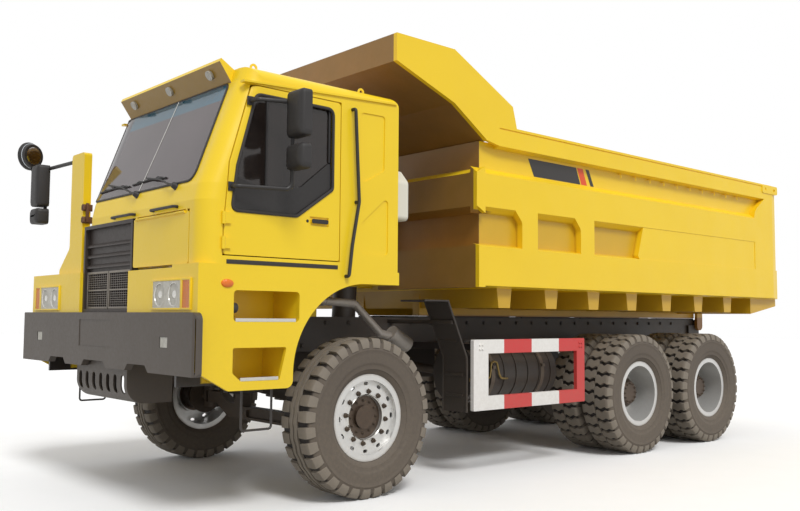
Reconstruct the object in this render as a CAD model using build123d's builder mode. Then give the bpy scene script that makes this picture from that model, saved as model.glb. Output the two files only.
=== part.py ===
# Mining dump truck, full size, in millimetres
# +X forward, +Y to the truck's left, +Z up, floor at zero, origin midway along and across
import os
from math import asin, degrees, hypot, pi, sqrt
from build123d import *

os.makedirs("parts", exist_ok=True)

# Axles: places along the truck, then half tracks and kingpins across it
front_axle_x = 2690
front_to_middle = 3900
middle_to_rear = 1500
front_track_y = 1358
twin_inner_y = 947
kingpin_y = 1020

# Tyre: outer sizes, tread, sidewall bend, bead and the air between twins
tyre_r = 655
tyre_w = 375
tread_w = 320
lug_h = 22
lug_count = 32
groove_w = 34
side_low_r = 470
side_high_r = 560
bead_r = 317
bead_w = 254
twin_gap = 55

# Rims: wall, flange and discs
rim_wall = 12
flange_h = 39
flange_t = 14
disc_t = 16
front_disc_y = 88
hub_r = 150
hub_in = 90
hub_floor_y = 70
hub_cap_h = 28
hub_window_r = 178
hub_cap_r = 95
hand_hole_r = 277
hand_hole_count = 12
hand_hole_l = 46
hand_hole_w = 28
rear_hub_in = 200
rear_disc_t = 20
rear_bore_end = 90
rear_hub_r = 165
rear_hub_out = 230
rear_hole_r = 238
rear_hole_count = 8
rear_hole_l = 80
rear_hole_w = 46

# Front axle, knuckles and tie rod
fit_gap = 0.05
seat_gap = 0.3
face_gap = 3
kingpin_r = 25
king_boss_r = 55
king_boss_h = 110
beam_l = 100
beam_h = 120
beam_drop = 55
beam_web = 40
seat_up = 65
spindle_r = 45
spindle_l = 317
knuckle_lug_h = 52
knuckle_lug_r = 50
knuckle_plate_out = 63
knuckle_plate_t = 30
brake_r = 180
brake_y = 1180
brake_t = 12
arm_back = 220
arm_drop = 95
arm_w = 50
arm_h = 30
ball_r = 15
ball_wall = 19
tie_r = 22
tie_drop = 140

# Rear axles, their seats and the shafts
rear_tube_r = 100
rear_tube_half = 740
rear_spindle_r = 60
rear_spindle_half = 1240
bowl_r = 230
bowl_l = 300
bowl_rim = 70
nose_r = 85
nose_out = 300
nose_up = 55
shaft_r = 50
joint_r = 75
joint_l = 120
gearbox_end_z = 1130

# Frame rails as channels
rail_y = 450
rail_w = 100
rail_wall = 12
rail_bottom = 1160
rail_h = 320
rail_front_x = 4080
rail_rear_x = -4280
rail_end_r = 110
pad_h = 15
pad_gap = 5
cross_l = 140
mount_r = 25

# Springs: leaves, eyes and hangers
leaf_t = 17
leaf_w = 90
front_leaves = 8
rear_leaves = 9
front_spring_half = 750
spring_eye_drop = 63
eye_r = 32
hanger_l = 80
rear_spring_half = 810
rear_arch = 125
spring_seat_l = 150
trunnion_r = 60
trunnion_z = 790
saddle_l = 260
saddle_top_l = 80
saddle_h = 56

# Bumper: a pressed channel with swept ends, notches below and lamp pockets
bumper_x = 4400
bumper_half = 1700
bumper_low = 1056
bumper_h = 446
bumper_depth = 60
bumper_skin = 10
bumper_corner_r = 60
notch_h = 52
fog_y = 1240
fog_z = 1285
fog_w = 120
fog_h = 80
fog_depth = 40

# Louvred guard under the bumper
guard_x = 4330
guard_half = 500
guard_top = 1100
guard_low = 780
guard_t = 12
guard_bend_r = 150
guard_rear_x = 3940
louvre_count = 7
louvre_pitch = 140
louvre_w = 62

# Grille: a deep frame with two mesh panels low in it and slats above
grille_y = 7
grille_w = 967
grille_h = 750
grille_depth = 58
grille_frame = 30
mesh_w = 420
mesh_h = 320
mesh_pitch = 40
mesh_bar = 14
slat_h = 24
slat_pitch = 90

# Engine and gearbox as plain blocks, exhaust
engine_l = 1240
engine_w = 760
engine_h = 760
engine_rear_x = 2640
engine_low = 950
gearbox_l = 520
gearbox_w = 520
gearbox_h = 420
gearbox_low = 960
exhaust_r = 45
exhaust_y = 900
silencer_r = 75
silencer_l = 240
silencer_x = 1830
silencer_z = 1275

# Cab: outline, walls, corner radii
cab_left_y = 1620
cab_right_y = -450
cab_wall = 60
cab_floor_z = 1850
cab_floor_t = 60
cab_rear_x = 2490
cab_front_x = 4310
cowl_depth = 55
cowl_low = 2250
screen_foot_x = 4285
screen_foot_z = 2430
screen_head_x = 3990
screen_head_z = 3230
roof_z = 3330
roof_lean = 22
roof_r = 85
corner_r = 150
door_head_z = 3190
gutter_h = 16
gutter_out = 14
gutter_front_x = 4010
press_depth = 8
eye_plate = 64

# Windscreen, rear window and panes
screen_w = 1600
screen_low = 2468
screen_h = 690
screen_r = 90
back_window_w = 1200
back_window_h = 480
back_window_low = 2580
pane_t = 12
pane_gap = 0.3

# Doors and their openings
door_rear_x = 3100
door_front_x = 4155
door_bend_z = 2120
door_bend2_x = 4115
door_bend2_z = 2590
door_top_x = 3935
door_gap = 8
hinge_r = 14
hinge_h = 90
hinge_low_z = 2000
hinge_pitch = 180
handle_x = 3305
handle_z = 2215
handle_l = 150
window_rear_x = 3180
window_front_x = 4085
window_low = 2240
window_high = 3120
window_bend_z = 2570
window_slant_l = 340
window_slant_h = 240
window_sash = 40

# Sun visor
visor_left_y = 1417
visor_right_y = -305
visor_x = 4080
visor_z = 3400
visor_t = 26
visor_lamp_r = 38

# Dashboard, steering wheel and seats
dash_depth = 295
wheel_r = 225
wheel_tube_r = 15
driver_y = 1080
mate_y = 60
seat_w = 480
seat_l = 500
seat_h = 130
seat_base_h = 240
seat_x = 3390
back_h = 580
back_t = 110

# Side panels with the steps, and the deck on the right
panel_y = 1620
panel_t = 30
panel_front_x = 4340
panel_rear_x = 2472
panel_low = 945
chin_z = 1087
chin_x = 4084
arch_reach = 840
arch_top = 1745
arch_r = 700
step_rear_x = 3480
step_front_x = 4052
step_upper_z = 1437
step_upper_h = 228
step_lower_z = 1010
step_lower_h = 240
step_depth = 360
step_plate = 20
step_r = 30
stirrup_y = 1500
stirrup_r = 9
stirrup_z = 640

# Head and side lamps: left and right
lamp_z = 1633
lamp_h = 205
lamp_w = 440
lamp_depth = 34
amber_w = 110
lamp_y = 1165
amber_y = 1465

# Flap below the windscreen
flap_y = 960
flap_w = 900
flap_hinge_r = 8
flap_tab_r = 5
flap_tab_w = 20

# Mirrors: mast on the right, arms on the left door
mast_rear_x = 4240
mast_foot_y = -1050
mast_outer_y = -820
mast_inner_y = -540
mast_top = 2930
mast_t = 70
mast_wall = 8
mirror_arm_r = 16
grab_r = 14
grab_out = 45
round_mirror_y = -1970
round_mirror_z = 3080
round_mirror_r = 142
round_mirror_t = 60
tall_mirror_y = -1570
tall_mirror_z = 2730
small_mirror_z = 2432
tall_mirror_w = 200
tall_mirror_h = 400
mirror_t = 95
small_mirror_h = 145
door_mirror_x = 3690
door_mirror_out = 270
door_mirror_w = 220
door_mirror_t = 60
door_mirror_high = 3060
door_mirror_low = 2410
big_mirror_z = 2960
big_mirror_h = 340
low_mirror_z = 2640
low_mirror_h = 180
mirror_r = 40

# Tanks
fuel_r = 290
fuel_l = 1240
fuel_x = 530
fuel_y = 950
fuel_z = 930
fuel_rib_r = 298
fuel_rib_w = 46
fuel_rib_count = 7
fuel_rib_pitch = 180
oil_l = 640
oil_w = 560
oil_h = 560
oil_x = 850
battery_l = 520
battery_w = 460
battery_h = 480
battery_x = 180
header_tank_h = 440
header_tank_w = 400
header_tank_t = 150

# Side guards between the axles and mudguards
guard_bar_y = 1450
guard_bar_t = 40
guard_front_x = 1410
guard_back_x = -270
guard_bar_low = 620
guard_bar_high = 1277
guard_bar_h = 130
guard_post_front = 200
guard_post_rear = 130
mud_y = 1330
mud_w = 460
mud_t = 12

# Telescopic hoist: foot and head pins, barrel and stages
hoist_foot_x = 1800
hoist_foot_up = 200
hoist_head_x = 1720
hoist_head_up = 980
barrel_r = 120
barrel_wall = 12
stage_wall = 16
stage_count = 4
barrel_start = 100
collar_h = 40
stage_start = 120
stage_show = 10
hoist_pin_r = 30
foot_eye_r = 58
foot_eye_w = 130
foot_ear_t = 24
foot_ear_gap = 5
head_eye_r = 50
head_eye_w = 140
head_lug_t = 30
head_lug_gap = 5
head_pin_r = 25

# Tipping body
tip_pivot_in = 100
tip_pivot_z = 1400
tip_pin_r = 40
tip_ear_r = 80
tip_ear_t = 30
tip_lug_r = 70
tip_lug_t = 40
tip_gap = 5
body_front_x = 1450
body_rear_x = -4400
body_half = 1650
wall_outer_half = 1570
wall_t = 40
floor_t = 50
runner_h = 300
runner_w = 100
runner_front_x = 1200
runner_rear_x = -4150
wall_h = 1485
front_wall_t = 60
front_wall_h = 1320
skirt_drop = 40
skirt_h = 400
rib_up = 700
rib_h = 310
rib_bevel = 60
top_rail_h = 197
ledge_h = 20
seam_h = 12
post_w = 230
post_gusset = 110
post_count = 2
post_first_x = 815
post_pitch = 915
recess_rear_x = -1010
corner_x = -3720
rear_bevel_l = 200
rear_bevel_in = 45
floor_rise_x = -3300
floor_rise = 350
rear_lip_drop = 130
cross_count = 7
cross_pitch = 700
cross_first_x = 1100
cross_w = 160
cross_h = 225
cross_flare = 30
front_rib_out = 110
skirt_rib_out = 80
bay_half = 230
bay_wall = 40
bay_x = 1220
bay_top_x = 1400
bay_top_up = 680

# Canopy over the cab
canopy_foot_in = 200
canopy_reach = 1093
canopy_flat = 695
canopy_fold = 251
canopy_tail = 245
canopy_tail_step = 58
canopy_tail_up = 205
canopy_rib_y = 800
canopy_rib_t = 20
canopy_rise = 600
canopy_plate = 40
canopy_lip = 239

# Worked out from the sizes above
axle_z = tyre_r
tyre_half = tyre_w / 2
tread_half = tread_w / 2
bead_half = bead_w / 2
flange_r = bead_r + flange_h
flange_y = bead_half + flange_t
rim_in_r = bead_r - rim_wall
middle_axle_x = front_axle_x - front_to_middle
rear_axle_x = middle_axle_x - middle_to_rear
trunnion_x = (middle_axle_x + rear_axle_x) / 2
twin_half = (tyre_w + twin_gap) / 2
twin_y = twin_inner_y + twin_half
rail_top = rail_bottom + rail_h
rail_out_y = rail_y + rail_w / 2
rail_in_y = rail_out_y - rail_wall
seat_z = axle_z + seat_up
spring_eye_z = rail_bottom - spring_eye_drop
saddle_z = trunnion_z + trunnion_r + saddle_h
arm_z = axle_z - arm_drop
tie_z = axle_z - tie_drop
nose_z = axle_z + nose_up
gearbox_rear_x = engine_rear_x - gearbox_l
bumper_high = bumper_low + bumper_h
bumper_back_x = bumper_x - bumper_depth
grille_low = bumper_high - 2
cab_mid_y = (cab_left_y + cab_right_y) / 2
cab_deck_z = cab_floor_z + cab_floor_t
pocket_x = cab_front_x - cowl_depth
screen_high = screen_low + screen_h
panel_in = panel_y - panel_t
arch_x = front_axle_x + arch_reach
lamp_face_x = panel_front_x + 10
flap_hinge_x = cab_front_x + flap_hinge_r
flap_hinge_z = cowl_low - flap_hinge_r - 10
flap_barrel_l = flap_w - 100
runner_low = rail_top + pad_h + pad_gap
floor_z = runner_low + runner_h
floor_top = floor_z + floor_t
wall_top = floor_z + wall_h
top_rail_low = wall_top - top_rail_h
skirt_low = floor_z - skirt_drop
skirt_high = skirt_low + skirt_h
rib_low = floor_z + rib_up
rib_high = rib_low + rib_h
front_wall_top = floor_z + front_wall_h
canopy_foot_x = body_front_x - canopy_foot_in
tip_pivot_x = rail_rear_x + tip_pivot_in
hoist_foot_z = rail_bottom + hoist_foot_up
hoist_head_z = floor_z + hoist_head_up


def outline(*points, radii=0, mode=Mode.ADD):
    """Face through the points, with its corners rounded, in the sketch that calls it."""
    with BuildLine() as edge:
        FilletPolyline(*points, radius=radii, close=True)
    make_face(edge.edges(), mode=mode)


def side_plate(y0, y1, *points, radii=0, mode=Mode.ADD):
    """Plate between two places across the truck, with an outline seen from the side."""
    with BuildSketch(Plane.XZ.offset(-max(y0, y1))) as shape:
        outline(*points, radii=radii)
    extrude(shape.sketch, amount=abs(y1 - y0), mode=mode)


def front_plate(x0, x1, *points, radii=0, mode=Mode.ADD):
    """Plate between two places along the truck, with an outline seen from its front."""
    with BuildSketch(Plane.YZ.offset(min(x0, x1))) as shape:
        outline(*points, radii=radii)
    extrude(shape.sketch, amount=abs(x1 - x0), mode=mode)


def flat_plate(z0, z1, *points, mode=Mode.ADD):
    """Plate between two heights, with an outline seen from above."""
    with BuildSketch(Plane.XY.offset(min(z0, z1))) as shape:
        outline(*points)
    extrude(shape.sketch, amount=abs(z1 - z0), mode=mode)


def bar(x0, x1, y0, y1, z0, z1, mode=Mode.ADD):
    """Straight bar between two places on each axis."""
    with Locations(((x0 + x1) / 2, (y0 + y1) / 2, (z0 + z1) / 2)):
        Box(abs(x1 - x0), abs(y1 - y0), abs(z1 - z0), mode=mode)


def round_bar(axis, place, r, length, mode=Mode.ADD):
    """Round bar centred on a place, along one axis."""
    turns = {"x": (0, 90, 0), "y": (90, 0, 0), "z": (0, 0, 0)}
    with Locations(Location(place, turns[axis])):
        Cylinder(r, length, mode=mode)


def rod(*points, bend, r):
    """Bent round rod or tube through the points."""
    with BuildLine() as path:
        FilletPolyline(*points, radius=bend)
    with BuildSketch(Plane(origin=path.line @ 0, z_dir=path.line % 0)) as section:
        Circle(r)
    sweep(section.sketch, path=path.line)


def leaf(centre, near_r, far_r, middle, half_angle):
    """One curved leaf between two radii, in the sketch that calls it."""
    with BuildLine() as edge:
        near = CenterArc(centre, near_r, middle - half_angle, 2 * half_angle)
        far = CenterArc(centre, far_r, middle - half_angle, 2 * half_angle)
        Line(near @ 0, far @ 0)
        Line(near @ 1, far @ 1)
    make_face(edge.edges())


# Frame rails: channels with rounded rear ends, each with an ear for the tipping pivot
with BuildPart() as frame_rails:
    for side in (1, -1):
        with BuildSketch(Plane.YZ.offset(rail_rear_x)):
            with Locations((side * rail_y, (rail_bottom + rail_top) / 2)):
                Rectangle(rail_w, rail_h)
            with Locations((side * (rail_y - rail_wall), (rail_bottom + rail_top) / 2)):
                Rectangle(rail_w, rail_h - 2 * rail_wall, mode=Mode.SUBTRACT)
        extrude(amount=rail_front_x - rail_rear_x)
    with BuildSketch(Plane.XZ.offset(-rail_out_y)):
        with Locations(
            (rail_rear_x + rail_end_r / 2, rail_bottom + rail_end_r / 2),
            (rail_rear_x + rail_end_r / 2, rail_top - rail_end_r / 2),
        ):
            Rectangle(rail_end_r, rail_end_r)
        with Locations(
            (rail_rear_x + rail_end_r, rail_bottom + rail_end_r),
            (rail_rear_x + rail_end_r, rail_top - rail_end_r),
        ):
            Circle(rail_end_r, mode=Mode.SUBTRACT)
    extrude(amount=2 * rail_out_y, mode=Mode.SUBTRACT)
    for side in (1, -1):
        with BuildSketch(Plane.XZ.offset(-side * (rail_out_y + tip_ear_t / 2) - tip_ear_t / 2)):
            with Locations((tip_pivot_x, tip_pivot_z)):
                Circle(tip_ear_r)
            with Locations((tip_pivot_x + 1.4 * tip_ear_r, tip_pivot_z - tip_ear_r)):
                Rectangle(2.8 * tip_ear_r, 2 * tip_ear_r)
            with Locations((tip_pivot_x, tip_pivot_z)):
                Circle(tip_pin_r + fit_gap, mode=Mode.SUBTRACT)
        extrude(amount=tip_ear_t)
frame_rails.part.label = "frame_rails"
export_step(frame_rails.part, "parts/frame_rails.step")

# Crossmembers, pads under the body, spring hangers, trunnion and cab mounts
member_gap = 20
member_low = rail_bottom + member_gap
member_high = rail_top - member_gap
with BuildPart() as frame_brackets:
    for x in (3980, 300, trunnion_x, -3500):
        bar(x - cross_l / 2, x + cross_l / 2, -rail_in_y, rail_in_y, member_low, member_high)
    # Crossmember and two ears for the foot of the hoist
    foot_out = foot_eye_w / 2 + foot_ear_gap
    foot_member_high = hoist_foot_z - foot_eye_r - 2 * foot_ear_gap
    bar(hoist_foot_x - cross_l / 2, hoist_foot_x + cross_l / 2, -rail_in_y, rail_in_y, member_low, foot_member_high)
    for side in (1, -1):
        side_plate(
            side * foot_out, side * (foot_out + foot_ear_t),
            (hoist_foot_x - foot_eye_r, member_low), (hoist_foot_x + foot_eye_r, member_low),
            (hoist_foot_x + foot_eye_r, hoist_foot_z + foot_eye_r),
            (hoist_foot_x - foot_eye_r, hoist_foot_z + foot_eye_r),
            radii=(0, 0, foot_eye_r / 2, foot_eye_r / 2),
        )
    round_bar("y", (hoist_foot_x, 0, hoist_foot_z), hoist_pin_r + fit_gap, 2 * rail_in_y, mode=Mode.SUBTRACT)
    for side in (1, -1):
        for x in (1100, -300, -1400, -3100):
            bar(x - 100, x + 100, side * rail_y - 40, side * rail_y + 40, rail_top, rail_top + pad_h)
        # Hangers hold the front spring's eyes between their cheeks
        for x in (front_axle_x - front_spring_half, front_axle_x + front_spring_half):
            cheek_y = leaf_w / 2 + face_gap / 10
            eye_top = spring_eye_z + eye_r + face_gap / 10
            bar(x - hanger_l / 2, x + hanger_l / 2, side * rail_y - 59, side * rail_y + 59,
                spring_eye_z - eye_r, rail_bottom)
            bar(x - hanger_l / 2, x + hanger_l / 2, side * rail_y - cheek_y, side * rail_y + cheek_y,
                spring_eye_z - eye_r, eye_top, mode=Mode.SUBTRACT)
        # Trunnion plates, and saddles under the rear springs
        plate_y = rail_y - leaf_w / 2 - 5
        bar(trunnion_x - cross_l / 2, trunnion_x + cross_l / 2, side * plate_y, side * (plate_y - 25),
            trunnion_z - trunnion_r, member_low)
        side_plate(
            side * plate_y, side * (plate_y + leaf_w + 10),
            (trunnion_x - saddle_l / 2, trunnion_z), (trunnion_x + saddle_l / 2, trunnion_z),
            (trunnion_x + saddle_top_l / 2, saddle_z - 2 * seat_gap),
            (trunnion_x - saddle_top_l / 2, saddle_z - 2 * seat_gap),
        )
        for x in (2625, 4005):
            round_bar("z", (x, side * rail_y, (rail_top + cab_floor_z) / 2), mount_r, cab_floor_z - rail_top)
    round_bar("y", (trunnion_x, 0, trunnion_z), trunnion_r, 2 * (rail_y + leaf_w))
frame_brackets.part.label = "frame_brackets"
export_step(frame_brackets.part, "parts/frame_brackets.step")

# Front bumper: a pressed channel with notches in its lower edge
with BuildPart() as front_bumper:
    with BuildSketch(Plane.XY.offset(bumper_low)):
        outline(
            (bumper_back_x, -bumper_half), (bumper_x, -bumper_half),
            (bumper_x, bumper_half), (bumper_back_x, bumper_half),
            radii=(0, bumper_depth * 0.7, bumper_depth * 0.7, 0),
        )
    extrude(amount=bumper_h)
    # Notch places: middle across, width at the edge
    edge_points = [(-bumper_half, bumper_high), (-bumper_half, bumper_low)]
    edge_radii = [bumper_corner_r, bumper_corner_r / 2]
    for y, width in ((-800, 400), (0, 495), (800, 400)):
        edge_points += [
            (y - width / 2, bumper_low),
            (y - width / 2 + notch_h, bumper_low + notch_h),
            (y + width / 2 - notch_h, bumper_low + notch_h),
            (y + width / 2, bumper_low),
        ]
        edge_radii += [0, 0, 0, 0]
    edge_points += [(bumper_half, bumper_low), (bumper_half, bumper_high)]
    edge_radii += [bumper_corner_r / 2, bumper_corner_r]
    with BuildSketch(Plane.YZ.offset(bumper_back_x)):
        outline(*edge_points, radii=edge_radii)
    extrude(amount=bumper_depth, mode=Mode.INTERSECT)
    with BuildSketch(Plane.YZ.offset(bumper_back_x)):
        outline(*edge_points, radii=edge_radii)
        offset(amount=-bumper_skin, kind=Kind.INTERSECTION)
    extrude(amount=bumper_depth - bumper_skin, mode=Mode.SUBTRACT)
    # Shallow middle panel and two holes for the lower lamps
    bar(bumper_x - bumper_skin / 2, bumper_x, -310, 310, bumper_low + 165, bumper_high - 60, mode=Mode.SUBTRACT)
    for side in (1, -1):
        bar(bumper_back_x, bumper_x, side * fog_y - fog_w / 2, side * fog_y + fog_w / 2,
            fog_z - fog_h / 2, fog_z + fog_h / 2, mode=Mode.SUBTRACT)
        bar(rail_front_x, bumper_x - bumper_skin, side * rail_y - 30, side * rail_y + 30,
            member_low + 40, member_high - 40)
front_bumper.part.label = "front_bumper"
export_step(front_bumper.part, "parts/front_bumper.step")

# Louvred guard: a bent plate below the bumper, with cheeks up to the rails
with BuildPart() as skid_guard:
    side_plate(
        -guard_half, guard_half,
        (guard_x, guard_top), (guard_x, guard_low), (guard_rear_x, guard_low),
        (guard_rear_x, guard_low + guard_t), (guard_x - guard_t, guard_low + guard_t), (guard_x - guard_t, guard_top),
        radii=(0, guard_bend_r, 0, 0, guard_bend_r - guard_t, 0),
    )
    louvre_h = guard_bend_r
    with BuildSketch(Plane.YZ.offset(guard_x - guard_bend_r)):
        with Locations((0, guard_low + guard_bend_r)):
            with GridLocations(louvre_pitch, 1, louvre_count, 1):
                SlotOverall(louvre_h, louvre_w, rotation=90)
    extrude(amount=guard_bend_r, mode=Mode.SUBTRACT)
    for side in (1, -1):
        side_plate(
            side * rail_out_y, side * (rail_out_y - guard_t),
            (guard_x - guard_t, guard_top), (guard_x - guard_t, guard_low + guard_t),
            (guard_rear_x, guard_low + guard_t), (guard_rear_x, rail_bottom), (rail_front_x, rail_bottom),
            radii=(0, guard_bend_r - guard_t, 0, 0, 0),
        )
skid_guard.part.label = "skid_guard"
export_step(skid_guard.part, "parts/skid_guard.step")

# Radiator grille: a deep frame, two mesh panels low in it and slats above them
with BuildPart() as grille:
    grille_x = pocket_x
    grille_mid_z = grille_low + grille_h / 2
    with BuildSketch(Plane.YZ.offset(grille_x)):
        with Locations((grille_y, grille_mid_z)):
            Rectangle(grille_w, grille_h)
            Rectangle(grille_w - 2 * grille_frame, grille_h - 2 * grille_frame, mode=Mode.SUBTRACT)
    extrude(amount=grille_depth)
    bar(grille_x, grille_x + grille_frame / 2, grille_y - grille_w / 2, grille_y + grille_w / 2,
        grille_low, grille_low + grille_h)
    # Mesh panels in front of the back plate
    mesh_x = grille_x + grille_frame / 2
    with BuildSketch(Plane.YZ.offset(mesh_x)):
        for y in (grille_y - mesh_w / 2 - mesh_bar, grille_y + mesh_w / 2 + mesh_bar):
            with Locations((y, grille_low + grille_frame + mesh_h / 2)):
                Rectangle(mesh_w, mesh_h)
                columns = int(mesh_w // mesh_pitch) - 1
                with GridLocations(mesh_pitch, mesh_h / 2 - mesh_bar, columns, 2):
                    Rectangle(mesh_pitch - mesh_bar, mesh_h / 2 - 2 * mesh_bar, mode=Mode.SUBTRACT)
    extrude(amount=mesh_bar)
    for number in range(3):
        z = grille_low + grille_frame + mesh_h + slat_pitch * (number + 0.6)
        side_plate(
            grille_y - grille_w / 2 + grille_frame, grille_y + grille_w / 2 - grille_frame,
            (mesh_x, z), (mesh_x + 2 * mesh_bar, z - slat_h), (mesh_x + 2 * mesh_bar, z - slat_h / 2),
            (mesh_x, z + slat_h / 2),
        )
grille.part.label = "grille"
export_step(grille.part, "parts/grille.step")

# Engine and gearbox as one plain block each
with BuildPart() as engine_block:
    bar(engine_rear_x, engine_rear_x + engine_l, -engine_w / 2, engine_w / 2, engine_low, engine_low + engine_h)
    bar(gearbox_rear_x, engine_rear_x, -gearbox_w / 2, gearbox_w / 2, gearbox_low, gearbox_low + gearbox_h)
engine_block.part.label = "engine_block"
export_step(engine_block.part, "parts/engine_block.step")

# Exhaust pipe from the engine's left side down to a silencer behind the front wheel
with BuildPart() as exhaust:
    pipe_z = engine_low + engine_h - 2 * exhaust_r
    pipe_x = engine_rear_x + 2 * exhaust_r
    round_bar("y", (pipe_x, (engine_w / 2 + exhaust_y) / 2, pipe_z), exhaust_r, exhaust_y - engine_w / 2)
    rod(
        (pipe_x, exhaust_y, pipe_z), (2375, exhaust_y, pipe_z - 20), (2065, exhaust_y, silencer_z + 60),
        (silencer_x, exhaust_y, silencer_z),
        bend=(60, 60), r=exhaust_r * 0.8,
    )
    with Locations((pipe_x, exhaust_y, pipe_z)):
        Sphere(exhaust_r)
    silencer_plane = Plane(origin=(silencer_x, exhaust_y, silencer_z), x_dir=(0, 1, 0), z_dir=(-0.86, 0, -0.5))
    with BuildSketch(silencer_plane.offset(-silencer_l / 2)):
        Circle(silencer_r)
    extrude(amount=silencer_l)
    bar(silencer_x - 30, silencer_x + 30, rail_out_y, exhaust_y, silencer_z - 15, silencer_z + 15)
exhaust.part.label = "exhaust"
export_step(exhaust.part, "parts/exhaust.step")

# Whole cab before it is split into panels: raked front, rounded corners and roof edges
with BuildPart() as cab_block:
    # Sections of the block: height, front end
    for z, front_x in (
        (cab_floor_z, cab_front_x), (cowl_low + 60, cab_front_x), (screen_foot_z, screen_foot_x),
        (screen_head_z, screen_head_x), (roof_z, screen_head_x - roof_lean),
    ):
        with BuildSketch(Plane.XY.offset(z)):
            outline(
                (cab_rear_x, cab_right_y), (front_x, cab_right_y), (front_x, cab_left_y), (cab_rear_x, cab_left_y),
                radii=(0, corner_r, corner_r, 0),
            )
    loft(ruled=True)
    side_plate(
        cab_right_y, cab_left_y,
        (cab_rear_x, cab_floor_z), (cab_front_x, cab_floor_z), (cab_front_x, roof_z), (cab_rear_x, roof_z),
        radii=(0, 0, 0, roof_r),
        mode=Mode.INTERSECT,
    )
    front_plate(
        cab_rear_x, cab_front_x,
        (cab_right_y, cab_floor_z), (cab_left_y, cab_floor_z), (cab_left_y, roof_z), (cab_right_y, roof_z),
        radii=(0, 0, roof_r, roof_r),
        mode=Mode.INTERSECT,
    )
with BuildPart() as cab:
    add(cab_block.part)
    # Room inside
    side_plate(
        cab_right_y + cab_wall, cab_left_y - cab_wall,
        (cab_rear_x + cab_wall, cab_deck_z), (pocket_x - cab_wall, cab_deck_z),
        (pocket_x - cab_wall, screen_foot_z - 2 * cab_wall), (screen_foot_x - cab_wall, screen_foot_z),
        (screen_head_x - cab_wall, screen_head_z), (screen_head_x - cab_wall - 8, roof_z - cab_wall),
        (cab_rear_x + cab_wall, roof_z - cab_wall),
        mode=Mode.SUBTRACT,
    )
    # Pocket in the front for the flap and the grille
    bar(pocket_x, cab_front_x, cab_right_y, flap_y + flap_w / 2 + door_gap, cab_floor_z, cowl_low,
        mode=Mode.SUBTRACT)
    # Door openings
    door_points = (
        (door_rear_x, cab_deck_z), (door_front_x, cab_deck_z), (door_front_x, door_bend_z),
        (door_bend2_x, door_bend2_z), (door_top_x, door_head_z), (door_rear_x, door_head_z),
    )
    side_plate(cab_right_y, cab_left_y, *door_points, mode=Mode.SUBTRACT)
    # Windscreen and rear window
    with BuildSketch(Plane.YZ.offset(screen_head_x - 2 * cab_wall)):
        with Locations((cab_mid_y, (screen_low + screen_high) / 2)):
            RectangleRounded(screen_w, screen_h, screen_r)
    extrude(amount=cab_front_x - screen_head_x + 2 * cab_wall, mode=Mode.SUBTRACT)
    with BuildSketch(Plane.YZ.offset(cab_rear_x)):
        with Locations((cab_mid_y, back_window_low + back_window_h / 2)):
            RectangleRounded(back_window_w, back_window_h, screen_r)
    extrude(amount=cab_wall, mode=Mode.SUBTRACT)
    # Pressed panels behind the doors
    for y0, y1 in ((cab_left_y - press_depth, cab_left_y), (cab_right_y, cab_right_y + press_depth)):
        side_plate(
            y0, y1, (2640, 3150), (2645, 2690), (2880, 2560), (2895, 3145),
            radii=30, mode=Mode.SUBTRACT,
        )
        side_plate(
            y0, y1, (2600, 2480), (2600, 1990), (2885, 1990), (2885, 2235),
            radii=30, mode=Mode.SUBTRACT,
        )
    # Tabs at both ends of the flap's barrel
    for end in (1, -1):
        y = flap_y + end * (flap_barrel_l / 2 + seat_gap + flap_tab_w / 2)
        round_bar("y", (flap_hinge_x, y, flap_hinge_z), flap_tab_r, flap_tab_w)
        bar(cab_front_x - flap_tab_r, flap_hinge_x + flap_tab_r, y - flap_tab_w / 2, y + flap_tab_w / 2,
            flap_hinge_z, cowl_low + flap_tab_w)
    # Gutters over the doors and four lifting eyes
    for y0, y1 in (
        (cab_left_y - roof_r / 2, cab_left_y + gutter_out),
        (cab_right_y - gutter_out, cab_right_y + roof_r / 2),
    ):
        side_plate(
            y0, y1, (gutter_front_x, door_head_z + 4), (gutter_front_x, door_head_z + 4 + gutter_h),
            (cab_rear_x + 30, roof_z - roof_r + gutter_h + 20), (cab_rear_x + 30, roof_z - roof_r + 20),
        )
    for x in (2780, 3830):
        for y in (cab_right_y + 150, cab_left_y - 150):
            with BuildSketch(Plane.XZ.offset(-y)):
                with Locations((x, roof_z)):
                    Rectangle(eye_plate, eye_plate)
                with Locations((x, roof_z + eye_plate / 2)):
                    Circle(eye_plate / 2)
                    Circle(eye_plate / 4, mode=Mode.SUBTRACT)
            extrude(amount=10)

# Cab panels, cut where they meet: floor, roof, front with its pillars, rear wall and rear quarters
cab_pieces = (
    ("cab_floor", cab_rear_x, cab_front_x, cab_floor_z, cab_deck_z),
    ("cab_roof", cab_rear_x, cab_front_x, door_head_z, roof_z + 2 * eye_plate),
    ("cab_front", door_top_x - 10, cab_front_x, cab_deck_z, door_head_z),
    ("cab_rear", cab_rear_x, cab_rear_x + cab_wall, cab_deck_z, door_head_z),
    ("cab_quarters", cab_rear_x + cab_wall, door_rear_x, cab_deck_z, door_head_z),
)
for name, x0, x1, z0, z1 in cab_pieces:
    with BuildPart() as cab_panel:
        add(cab.part)
        bar(x0, x1, cab_right_y - 2 * gutter_out, cab_left_y + 2 * gutter_out, z0, z1, mode=Mode.INTERSECT)
    cab_panel.part.label = name
    export_step(cab_panel.part, "parts/" + name + ".step")

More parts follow.
